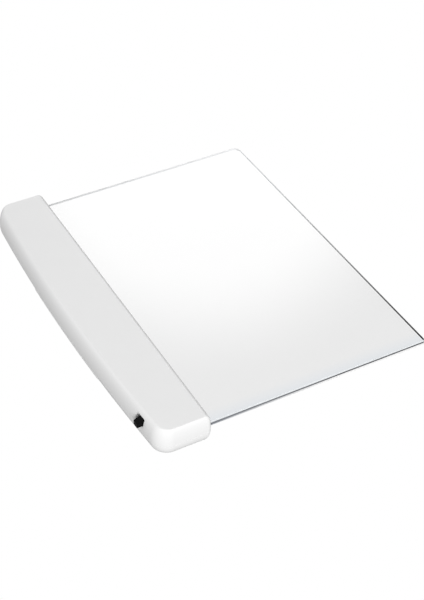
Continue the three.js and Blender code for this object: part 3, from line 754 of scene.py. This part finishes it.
def upper_shell():
    low = SEAM_Z - PAST
    roof = CEILING_Z + ROOT
    shell = cut(upper_form(), inner_form(WALL, (low, CEILING_Z)))
    way_half = PANEL_HALF + PANEL_PLAY
    shelf = block((-SHELF_DEPTH, -WALL / 2), span(0, way_half + PAST), (UPPER_LOW.z, roof))
    patch = block((-FAR, PAD_X), span(SWITCH_MIDDLE.y, PAD_HALF_LENGTH), (UPPER_LOW.z, roof))
    overlap(patch, inner_form(WALL / 2, (1, HEIGHT)))
    bosses = [post(place, UPPER_BOSS_RADIUS, (UPPER_LOW.z, roof)) for place in SCREW_PLACES]
    rib_x = (-DEPTH + 6, -SHELF_DEPTH + 0.5)
    ribs = [block(rib_x, span(y, 0.5), (CEILING_Z - CEILING_RIB_DROP, roof)) for y in CEILING_RIB_Y]
    join(shell, shelf, patch, *bosses, *ribs)
    panel_way = block((-SHELF_DEPTH - PAST, FAR), span(0, way_half), (0, PANEL_HIGH.z + 0.08))
    pilots = [post(place, PILOT_RADIUS, (low - 2 * PAST, PILOT_TOP_Z)) for place in SCREW_PLACES]
    cut(shell, panel_way, slot_cutter(), *pilots)
    return piece(shell, "upper_shell_fine", "housing", [SHELL], ["upper_shell"])


def end_rim():
    """The lip inside the lower shell's wall that centres the upper one, over the housing's ends.

    Its cutters start at different levels, so that no two of their faces coincide.
    """
    gap = WALL + WALL_PLAY
    foot = prism(WALL - 0.3, (SEAM_Z - 1.8, SEAM_Z - SEAM_GAP))
    rim = join(foot, prism(gap, (SEAM_Z - 1, SEAM_Z + RIM_HEIGHT)))
    return cut(
        rim,
        prism(gap + RIM_THICKNESS, (0, FAR)),
        block((-FAR, FAR), span(0, RIM_START_Y), (-PAST, FAR)),
        block((-SHELF_DEPTH - 2, FAR), (-FAR, FAR), (-2 * PAST, FAR)),
        block((-FAR, -25), span(SWITCH_MIDDLE.y, RIM_SWITCH_HALF), (-3 * PAST, FAR)),
    )


def battery_bay():
    """The walls round the cells, clear of the upper shell and with a window for each lane's wire."""
    top = CEILING_Z - 0.3
    outer = BAY_HALF_LENGTH + BAY_WALL
    bay = cut(
        block((BAY_OUTSIDE_X, BAY_INNER_X + BAY_WALL), (-outer, outer), (DOOR_THICKNESS, top)),
        block((-FAR, BAY_INNER_X), (-BAY_HALF_LENGTH, BAY_HALF_LENGTH), (0, FAR)),
    )
    overlap(bay, inner_form(WALL / 2, (0.5, top + PAST)))
    clear_of_wall = prism(0.05, (SEAM_Z - SEAM_GAP, FAR))
    cut(clear_of_wall, inner_form(WALL + WALL_PLAY, (SEAM_Z - 1, HEIGHT)))
    window_y = (-outer - PAST, -BAY_HALF_LENGTH + PAST)
    windows = [block((x + WIRE_WINDOW_X[0], x + WIRE_WINDOW_X[1]), window_y, WIRE_WINDOW_Z) for x in LANES]
    return cut(bay, clear_of_wall, *windows)


def door_way(shell):
    """Opens the underside and the foot of the outer wall for the door, and adds its ledges."""
    door_half = DOOR_HIGH.y + DOOR_GAP
    door_y = (-door_half, door_half)
    cut(shell, block((-FAR, DOOR_HIGH.x + DOOR_GAP), door_y, (-PAST, WALL + 0.1)))
    outside = block((-FAR, DOOR_WAY_X), door_y, (-PAST, DOOR_HIGH.z + DOOR_GAP))
    cut(shell, cut(overlap(outside, prism(-2, (-2 * PAST, 12))), prism(WALL + 1, (-3 * PAST, FAR))))
    for side in (-1, 1):
        edges = sorted((side * (door_half - RAIL_WIDTH), side * (door_half + 2)))
        join(shell, block(LEDGE_X, edges, (LEDGE_Z, LEDGE_Z + RAIL_THICKNESS)))


def lower_shell():
    shell = cut(lower_form(), prism(WALL, (WALL, FAR), SHELF_DEPTH))
    door_way(shell)
    sill_z = PANEL_LOW.z - 0.05
    join(shell, block((-SHELF_DEPTH, -WALL), (-PANEL_HALF, PANEL_HALF), (FLOOR_ROOT_Z, sill_z)))
    sill = block((-SHELF_DEPTH, PAST), (-PANEL_HALF, PANEL_HALF), (SEAM_Z - 1.5, sill_z))
    join(shell, overlap(sill, inner_form(0.02, (1, HEIGHT))))
    peg_z = (PANEL_LOW.z - 1, PANEL_HIGH.z - 0.9)
    pegs = [block((-SHELF_DEPTH, PEG_END_X), span(y, PEG_HALF_WIDTH), peg_z) for y in NOTCH_Y]
    bosses = [post(place, LOWER_BOSS_RADIUS, (FLOOR_ROOT_Z, SEAM_Z - SEAM_GAP)) for place in SCREW_PLACES]
    join(shell, *pegs, *bosses)
    join(shell, battery_bay())
    join(shell, end_rim())
    rib_x = (BAY_INNER_X + BAY_WALL + 0.1, -SHELF_DEPTH - 0.6)
    ribs = [cut(block(rib_x, span(y, 0.7), (FLOOR_ROOT_Z, 5)), block(BOARD_SLOT_X, span(y, 1), (2.5, 6)))
            for y in BOARD_RIB_Y]
    switch_y = SWITCH_MIDDLE.y
    ear_z = (FLOOR_ROOT_Z, SWITCH_MIDDLE.z)
    ears = [block(EAR_X, span(switch_y + side * EAR_OFFSET, EAR_HALF_WIDTH), ear_z) for side in (-1, 1)]
    rest = block(REST_X, span(switch_y, REST_HALF_LENGTH), (FLOOR_ROOT_Z, SWITCH_LOW.z - 0.3))
    join(shell, *ribs, *ears, rest)
    sinks = [turned("sink", SCREW_SINK, (*place, 0)) for place in SCREW_PLACES]
    holes = [post(place, SCREW_HOLE_RADIUS, (1, SEAM_Z + PAST)) for place in SCREW_PLACES]
    cut(shell, *sinks)
    cut(shell, *holes)
    return piece(shell, "lower_shell_fine", "housing", [SHELL], ["lower_shell"])


def battery_door():
    half = DOOR_HIGH.y
    lip = DOOR_HIGH.z
    edge_z = lip - DOOR_LIP_EDGE

    def proud(z):
        """The lip stands out most at its foot and runs back towards the wall at its top."""
        share = min(max((z - DOOR_FLARE_Z) / (edge_z - DOOR_FLARE_Z), 0), 1)
        return DOOR_PROUD + (DOOR_LIP_PROUD - DOOR_PROUD) * share

    rings = [form_ring(0, DOOR_PROUD, FLAT_BORDER)]
    rings += [form_ring(z, proud(z)) for z in form_levels(0, edge_z)]
    for i in range(1, DOOR_LIP_STEPS + 1):
        turn = QUARTER * i / DOOR_LIP_STEPS
        level = edge_z + DOOR_LIP_EDGE * math.sin(turn)
        rings.append(form_ring(edge_z, DOOR_LIP_PROUD, DOOR_LIP_EDGE * (1 - math.cos(turn)), level))
    skin = loft("door_form", rings)
    overlap(skin, block((-FAR, DOOR_HIGH.x), (-half, half), (-PAST, lip + 2 * PAST)))
    cut(skin, prism(WALL, (DOOR_THICKNESS, FAR)))
    for side in (-1, 1):
        inner = side * (half - RAIL_WIDTH - RAIL_WEB)
        web = sorted((inner, side * (half - RAIL_WIDTH)))
        flange = sorted((inner, side * (half - 0.1)))
        join(skin, block(RAIL_X, web, (DOOR_THICKNESS - 0.2, lip)))
        join(skin, block(RAIL_X, flange, (lip - RAIL_THICKNESS, lip)))
    cut(skin, *[grip_groove(GRIP_START_X + i * GRIP_PITCH) for i in range(GRIP_COUNT)])
    return piece(skin, "battery_door_fine", "door", [DOOR], ["battery_door"])


def grip_groove(x):
    """A shallow round-bottomed groove across the door, for a thumb."""
    angles = [math.tau * i / GRIP_SIDES for i in reversed(range(GRIP_SIDES))]
    rings = []
    for y, share in GRIP_RUN:
        radius = GRIP_RADIUS * share
        rings.append([(x + radius * math.cos(a), y, GRIP_DEPTH - GRIP_RADIUS + radius * math.sin(a))
                      for a in angles])
    return loft("groove", rings)


# ---- panel ----

def light_panel():
    x0, x1 = PANEL_LOW.x, PANEL_HIGH.x
    near, far = PANEL_CORNERS
    low, high = PANEL_LOW.z, PANEL_HIGH.z

    def ring(inset, z):
        points = [(x0 + inset, -PANEL_HALF + inset)]
        points += arc((x1 - near, -PANEL_HALF + near), near - inset, -QUARTER, 0, PANEL_CORNER_STEPS)
        points += arc((x1 - far, PANEL_HALF - far), far - inset, 0, QUARTER, PANEL_CORNER_STEPS)
        points.append((x0 + inset, PANEL_HALF - inset))
        return [(x, y, z) for x, y in points]

    turns = [QUARTER * i / PANEL_EDGE_STEPS for i in range(PANEL_EDGE_STEPS + 1)]
    rounding = [(PANEL_EDGE * (1 - math.sin(turn)), PANEL_EDGE * (1 - math.cos(turn))) for turn in turns]
    rings = [ring(PLATE_MARGIN, low)]
    rings += [ring(inset, low + rise) for inset, rise in rounding]
    rings += [ring(inset, high - rise) for inset, rise in reversed(rounding)]
    rings.append(ring(PLATE_RIM, high))
    plate = loft("plate", rings)
    cut(plate, *[block((-FAR, NOTCH_END_X), span(y, NOTCH_HALF_WIDTH), (0, FAR)) for y in NOTCH_Y])

    # the edge faces and the rim strip get the edge materials, whose tones are painted shade, reflection and
    # glow
    dress(plate, CLEAR, CLEAR_MARGIN, PLATE_SIDE_PAINTED_SHADE, PLATE_NEAR_PAINTED_REFLECTION, PLATE_FAR_PAINTED_SHADE)
    margin, side, near_end, far_end = 1, 2, 3, 4
    for face in plate.data.polygons:
        x, out = face.center.x, face.normal
        if x < HIDDEN_X:
            continue
        if abs(out.z) < 0.9:
            end = near_end if out.y < 0 else far_end
            face.material_index = end if abs(out.y) > abs(out.x) else side
        elif out.z < 0 and x > x1 - PLATE_MARGIN:
            face.material_index = margin
        elif out.z > 0 and x > x1 - PLATE_RIM:
            face.material_index = side
    return piece(plate, "light_panel_fine", "housing", None, ["light_panel"])


# ---- switch ----

def switch_knob():
    """A cap that tapers outward, with a dished and ridged face, a flange behind the wall and a stem."""
    lo, hi = KNOB_LOW, KNOB_HIGH
    middle = (lo.y + hi.y) / 2
    half = KNOB_LENGTH / 2
    z0, z1 = SLOT_Z[0] + SLOT_PLAY, SLOT_Z[1] - SLOT_PLAY
    front = lo.x + KNOB_SETBACK

    def section(x, draft, top_fall, edge):
        """A rectangle with broken corners, which draws in by draft and whose top comes down by top_fall."""
        y0, y1 = middle - half + 0.2 + draft * 0.4, middle + half - draft * 0.6
        low, high = z0 + draft * 0.2, z1 - top_fall
        corners = [(y0, low + edge), (y0, high - edge), (y0 + edge, high), (y1 - edge, high),
                   (y1, high - edge), (y1, low + edge), (y1 - edge, low), (y0 + edge, low)]
        return [(x, y, z) for y, z in corners]

    cap = loft("cap", [
        section(PAD_X + 0.7, 0, 0, 0.3),
        section(PAD_X - 2.4, 0, 0, 0.3),
        section(front + 0.25, 0.35, 1.35, 0.2),
        section(front + 0.07, 0.42, 1.42, 0.25),
        section(front, 0.52, 1.52, 0.3),
    ])
    dish_y = (middle - half + 0.6, middle + half - 1.0)
    cut(cap, block((front - PAST, front + 0.4), dish_y, (z0 + 0.6, z1 - 2.1), 0.2))
    ridge_x, ridge_z = (front + 0.08, front + 1), (z0 + 0.5, z1 - 2.0)
    ridge_y = [middle - 0.2 + step * RIDGE_PITCH for step in (-1, 0, 1)]
    join(cap, *[block(ridge_x, span(y, RIDGE_HALF_WIDTH), ridge_z, 0.12) for y in ridge_y])
    flange = block((PAD_X + FLANGE_X[0], PAD_X + FLANGE_X[1]), (lo.y, hi.y), (lo.z, hi.z), KNOB_BREAK)
    overlap(flange, inner_form(WALL + FLANGE_PLAY, (SEAM_Z, HEIGHT)))
    stem_y, stem_z = span(middle, STEM_HALF[0]), span(SWITCH_MIDDLE.z, STEM_HALF[1])
    stem = block((PAD_X + 0.9, hi.x), stem_y, stem_z, KNOB_BREAK)
    join(cap, flange)
    join(cap, stem)
    dress(cap, BLACK, BLACK_GRIP)
    for face in cap.data.polygons:
        if face.normal.x < -0.7 and front + 0.05 < face.center.x < front + 0.6:
            face.material_index = 1
    return piece(cap, "switch_knob_fine", "switch_slider", None, ["switch_knob"])


# ---- cells, contacts and screws ----

def battery_cell(node, toward):
    """A cell lying along Y, its button toward +Y or -Y."""
    low, high = reach(node)
    radius = (high.z - low.z) / 2
    length = high.y - low.y
    body = length - 1.1
    profile = [
        (0.05, 0.25), (2.6, 0.25), (3.1, 0.0), (radius - 0.75, 0.0), (radius - 0.3, 0.12),
        (radius - 0.05, 0.45), (radius - 0.05, 0.8), (radius, 0.85), (radius, body * 0.68),
        (radius, body - 0.9), (radius - 0.05, body - 0.85), (radius - 0.05, body - 0.5),
        (radius - 0.35, body - 0.1), (radius - 0.9, body), (2.6, body - 0.15), (2.15, body - 0.1),
        (1.9, body + 0.05), (1.9, length - 0.25), (1.7, length - 0.05), (1.2, length), (0.05, length),
    ]
    jacket, band = 7, 8  # the profile's steps that the jacket's two colours cover
    cell = turned(node, profile, sides=CELL_SIDES)
    dress(cell, STEEL, JACKET, JACKET_BAND)
    for face in cell.data.polygons:
        step = face.index // CELL_SIDES
        if step in (jacket, band):
            face.material_index = 1 if step == jacket else 2
    turn = Matrix.Rotation(-QUARTER * toward, 4, "X")
    middle = (low + high) / 2
    cell.data.transform(Matrix.Translation(middle) @ turn @ Matrix.Translation((0, 0, -length / 2)))
    return piece(cell, node + "_fine", "housing", None, [node], 25)


def contact_spring(node, direction):
    """A conical contact spring with a closed turn at each end."""
    low, high = reach(node)
    wide = (high.z - low.z) / 2 - SPRING_WIRE_RADIUS
    middle = (low + high) / 2
    start = low.y + SPRING_WIRE_RADIUS if direction > 0 else high.y - SPRING_WIRE_RADIUS
    length = high.y - low.y - 2 * SPRING_WIRE_RADIUS
    points = []
    for i in range(SPRING_STEPS + 1):
        t = i / SPRING_STEPS
        rise = min(max((t - SPRING_CLOSED_SHARE) / (1 - 2 * SPRING_CLOSED_SHARE), 0), 1)
        angle = t * SPRING_TURNS * math.tau
        radius = wide + (SPRING_NARROW_RADIUS - wide) * t
        points.append((middle.x + radius * math.cos(angle), start + direction * length * rise,
                       middle.z + radius * math.sin(angle)))
    spring = tube(node, points, SPRING_WIRE_RADIUS)
    return piece(spring, node + "_fine", "housing", [STEEL], [node], 40)


def housing_screw(node):
    """A screw standing on its countersunk head, with a threaded shank and a cross recess."""
    low, high = reach(node)
    middle = (low + high) / 2
    head = (high.x - low.x) / 2
    root, crest, top = SCREW_ROOT_RADIUS, SCREW_CREST_RADIUS, SCREW_HEAD_HEIGHT
    profile = [(0.05, 0), (head - 1.1, 0), (head - 0.45, 0.18), (head - 0.1, 0.6), (head, 1.1),
               (head, top - 0.15), (head - 0.15, top), (root, top)]
    height = high.z - low.z
    z = top + 0.4
    while z + SCREW_PITCH < height - SCREW_POINT:
        profile += [(root, z), (crest, z + SCREW_PITCH * 0.45), (crest, z + SCREW_PITCH * 0.55),
                    (root, z + SCREW_PITCH * 0.99)]
        z += SCREW_PITCH
    profile += [(root - 0.05, height - SCREW_POINT), (0.15, height)]
    screw = turned(node, profile, (middle.x, middle.y, low.z), SCREW_SIDES)
    for half_x, half_y in (RECESS_HALF, RECESS_HALF[::-1]):
        recess_z = (low.z - PAST, low.z + RECESS_DEPTH)
        cut(screw, block(span(middle.x, half_x), span(middle.y, half_y), recess_z, 0.1))
    return piece(screw, node + "_fine", "housing", [SCREW], [node], 30)


# ---- light strip ----

def led(node):
    """A white package with a well of phosphor on the side that faces the panel."""
    low, high = reach(node)
    middle = (low + high) / 2
    body = bevelled(block((low.x, high.x), (low.y, high.y), (low.z, high.z), LED_BREAK), 0.04)
    apply_modifiers(body)
    beside, above = LED_WELL_WALL
    well_y, well_z = (low.y + beside, high.y - beside), (low.z + above, high.z - above)
    cut(body, block((high.x - LED_WELL_DEPTH, high.x + PAST), well_y, well_z, 0.25))
    dress(body, PACKAGE, PHOSPHOR)
    for face in body.data.polygons:
        place = face.center
        inside = abs(place.y - middle.y) < 1.3 and abs(place.z - middle.z) < 1.0
        if inside and low.x + 0.6 < place.x < high.x - 0.2:
            face.material_index = 1
    return piece(body, node + "_fine", "housing", None, [node])


def resistor(node):
    low, high = reach(node)
    body_y = (low.y + RESISTOR_CAP - 0.1, high.y - RESISTOR_CAP + 0.1)
    body_z = (low.z + RESISTOR_BODY_SINK, high.z - RESISTOR_BODY_SINK)
    body = block((low.x, high.x), body_y, body_z, 0.05)
    caps = [block((low.x, high.x), ends, (low.z, high.z), 0.08)
            for ends in ((low.y, low.y + RESISTOR_CAP), (high.y - RESISTOR_CAP, high.y))]
    join(body, *caps)
    dress(body, RESISTOR, STEEL)
    for face in body.data.polygons:
        if abs(face.center.y - (low.y + high.y) / 2) > (high.y - low.y) / 2 - RESISTOR_CAP - 0.05:
            face.material_index = 1
    return piece(body, node + "_fine", "housing", None, [node])


# ---- wires ----

def smooth_route(points):
    """A Catmull-Rom line through the points."""
    points = [Vector(p) for p in points]
    padded = [points[0] * 2 - points[1], *points, points[-1] * 2 - points[-2]]
    route = []
    for i in range(1, len(padded) - 2):
        a, b, c, d = padded[i - 1:i + 3]
        for k in range(WIRE_STEPS):
            t = k / WIRE_STEPS
            route.append(0.5 * (2 * b + (c - a) * t + (2 * a - 5 * b + 4 * c - d) * t ** 2
                                + (3 * b - a - 3 * c + d) * t ** 3))
    route.append(points[-1])
    return route


def wire(node, material, points):
    line = tube(node, smooth_route(points), WIRE_RADIUS, WIRE_SIDES)
    return piece(line, node + "_fine", "housing", [material], [node], 60)


def wires():
    """Red and black from the cells to the switch and the board, white from the switch to the board."""
    red_x, black_x = [x + sum(WIRE_WINDOW_X) / 2 for x in LANES]
    pin_y, pin_z = SWITCH_MIDDLE.y, SWITCH_MIDDLE.z
    wire("red_wire", RED, [
        (red_x, -47.6, 12.3), (red_x, -51, 12.3), (-23.6, -60, 11), (-22.6, -72, 9.5), (-21.4, -84, 13.2),
        (-20.2, pin_y, pin_z + 1.2),
    ])
    wire("black_wire", DARK, [
        (black_x, -47.6, 12.3), (black_x, -50.5, 12.3), (-11.9, -56, 11.8), (-11.3, -62, 10.5),
        (-9.2, -66, 9.4),
    ])
    wire("white_wire", PALE, [
        (-20.2, pin_y + 3, pin_z - 1.2), (-18.5, pin_y + 7, 10.6), (-15, -77, 10.8), (-11.5, -75, 10.2),
        (-9.2, -74, 9.4),
    ])


# ---- CAD nodes that keep their shape ----

def keep_node(node, material):
    item = frame["nodes"][node]
    item.data.materials.clear()
    item.data.materials.append(material)


def build():
    upper_shell()
    lower_shell()
    battery_door()
    light_panel()
    switch_knob()
    for node, toward in zip(CELL_NODES, (-1, -1, 1, 1)):
        battery_cell(node, toward)
    contact_spring("negative_spring", 1)
    contact_spring("bridge_spring", -1)
    for i in range(4):
        housing_screw(f"housing_screw_{i + 1}")
    for i in range(6):
        led(f"led_{i + 1}")
    for i in range(3):
        resistor(f"led_resistor_{i + 1}")
    wires()
    keep_node("led_board", BOARD)
    keep_node("switch_body", BLACK)
    keep_node("switch_frame", STEEL)
    for i in range(3):
        keep_node(f"switch_pin_{i + 1}", STEEL)
    for node in ("positive_contact", "negative_contact", "bridge_contact"):
        keep_node(node, STEEL)


# ---- studio ----

def emission_material(name):
    """A material that only shines, and what it takes to add nodes to it."""
    material = bpy.data.materials.new(name)
    material.use_nodes = True
    tree = material.node_tree
    tree.nodes.clear()
    output = tree.nodes.new("ShaderNodeOutputMaterial")
    glow = tree.nodes.new("ShaderNodeEmission")
    glow.inputs["Color"].default_value = (1, 1, 1, 1)
    glow.inputs["Strength"].default_value = 1.0
    return material, tree.nodes.new, tree.links.new, glow, output


def floor():
    """A plain pale table top, bright enough to read as white paper, and clear from below."""
    corners = [(x * FLOOR_HALF, y * FLOOR_HALF, 0) for x, y in ((-1, -1), (1, -1), (1, 1), (-1, 1))]
    item = make("floor", corners, [(0, 1, 2, 3)])
    item.location.z = -FLOOR_DROP
    material, new, link, glow, output = emission_material("floor")
    clear = new("ShaderNodeBsdfTransparent")
    side = new("ShaderNodeNewGeometry")
    mix = new("ShaderNodeMixShader")
    link(side.outputs["Backfacing"], mix.inputs["Fac"])
    link(glow.outputs["Emission"], mix.inputs[1])
    link(clear.outputs["BSDF"], mix.inputs[2])
    link(mix.outputs["Shader"], output.inputs["Surface"])
    dress(item, material)
    item.visible_diffuse = False
    item.visible_glossy = False
    item.visible_shadow = False


def toward(azimuth, elevation):
    """The direction from the object to a viewer at that azimuth and elevation; azimuth 0 looks along +Y."""
    return Vector((math.sin(azimuth) * math.cos(elevation), -math.cos(azimuth) * math.cos(elevation),
                   math.sin(elevation)))


def look(item, place, target):
    item.location = place
    item.rotation_euler = (Vector(target) - Vector(place)).to_track_quat("-Z", "Y").to_euler()


def camera():
    data = bpy.data.cameras.new("camera")
    data.lens = LENS
    data.sensor_width = SENSOR
    data.clip_start = 0.01
    item = bpy.data.objects.new("camera", data)
    bpy.context.scene.collection.objects.link(item)
    look(item, AIM + toward(AZIMUTH, ELEVATION) * DISTANCE, AIM)
    bpy.context.scene.camera = item


def area_light(name, place, target, size, power):
    data = bpy.data.lights.new(name, "AREA")
    data.shape = "DISK"
    data.size = size
    data.energy = power
    item = bpy.data.objects.new(name, data)
    bpy.context.scene.collection.objects.link(item)
    item.visible_camera = False
    item.visible_glossy = False
    item.visible_transmission = False
    look(item, place, target)


def softbox():
    """A round diffuser above and behind, whose soft-edged reflection lies over the panel's far half."""
    direction = toward(math.radians(SOFTBOX_AZIMUTH), math.radians(SOFTBOX_HEIGHT))
    angles = [i * math.tau / SOFTBOX_SIDES for i in range(SOFTBOX_SIDES)]
    ring = [(SOFTBOX_RADIUS * math.cos(a), SOFTBOX_RADIUS * math.sin(a), 0) for a in angles]
    item = make("softbox", ring, [tuple(range(SOFTBOX_SIDES))])
    look(item, direction * SOFTBOX_DISTANCE, (0, 0, 0))
    material, new, link, glow, output = emission_material("softbox")
    place = new("ShaderNodeTexCoord")
    length = new("ShaderNodeVectorMath")
    length.operation = "LENGTH"
    fade = new("ShaderNodeMapRange")
    fade.interpolation_type = "SMOOTHSTEP"
    fill(fade, From_Min=SOFTBOX_RADIUS, From_Max=SOFTBOX_RADIUS * SOFTBOX_CORE, To_Max=SOFTBOX_STRENGTH)
    link(place.outputs["Object"], length.inputs[0])
    link(length.outputs["Value"], fade.inputs["Value"])
    link(fade.outputs["Result"], glow.inputs["Strength"])
    clear = new("ShaderNodeBsdfTransparent")
    add = new("ShaderNodeAddShader")
    link(glow.outputs["Emission"], add.inputs[0])
    link(clear.outputs["BSDF"], add.inputs[1])
    link(add.outputs["Shader"], output.inputs["Surface"])
    dress(item, material)
    item.visible_camera = False
    item.visible_diffuse = False
    item.visible_transmission = False
    item.visible_shadow = False


def world():
    """Soft light from all round, weaker from below, on a white backdrop."""
    made = bpy.data.worlds.new("studio")
    bpy.context.scene.world = made
    made.use_nodes = True
    tree = made.node_tree
    new, link = tree.nodes.new, tree.links.new
    background = tree.nodes["Background"]
    place = new("ShaderNodeTexCoord")
    split = new("ShaderNodeSeparateXYZ")
    spread = new("ShaderNodeMapRange")
    fill(spread, From_Min=-1, From_Max=1, To_Min=WORLD_LOW, To_Max=WORLD_HIGH)
    link(place.outputs["Generated"], split.inputs["Vector"])
    link(split.outputs["Z"], spread.inputs["Value"])
    path = new("ShaderNodeLightPath")
    backdrop = new("ShaderNodeMix")
    link(path.outputs["Is Camera Ray"], backdrop.inputs["Factor"])
    link(spread.outputs["Result"], backdrop.inputs["A"])
    backdrop.inputs["B"].default_value = 1.0
    link(backdrop.outputs["Result"], background.inputs["Strength"])
    background.inputs["Color"].default_value = (1, 1, 1, 1)


def studio():
    bpy.context.scene.view_settings.view_transform = "Standard"
    world()
    floor()
    softbox()
    key_way = toward(math.radians(KEY_TURN), math.radians(KEY_HEIGHT))
    area_light("key", KEY_TARGET + key_way * KEY_DISTANCE, KEY_TARGET, KEY_SIZE, KEY_POWER)
    camera()


build()
studio()
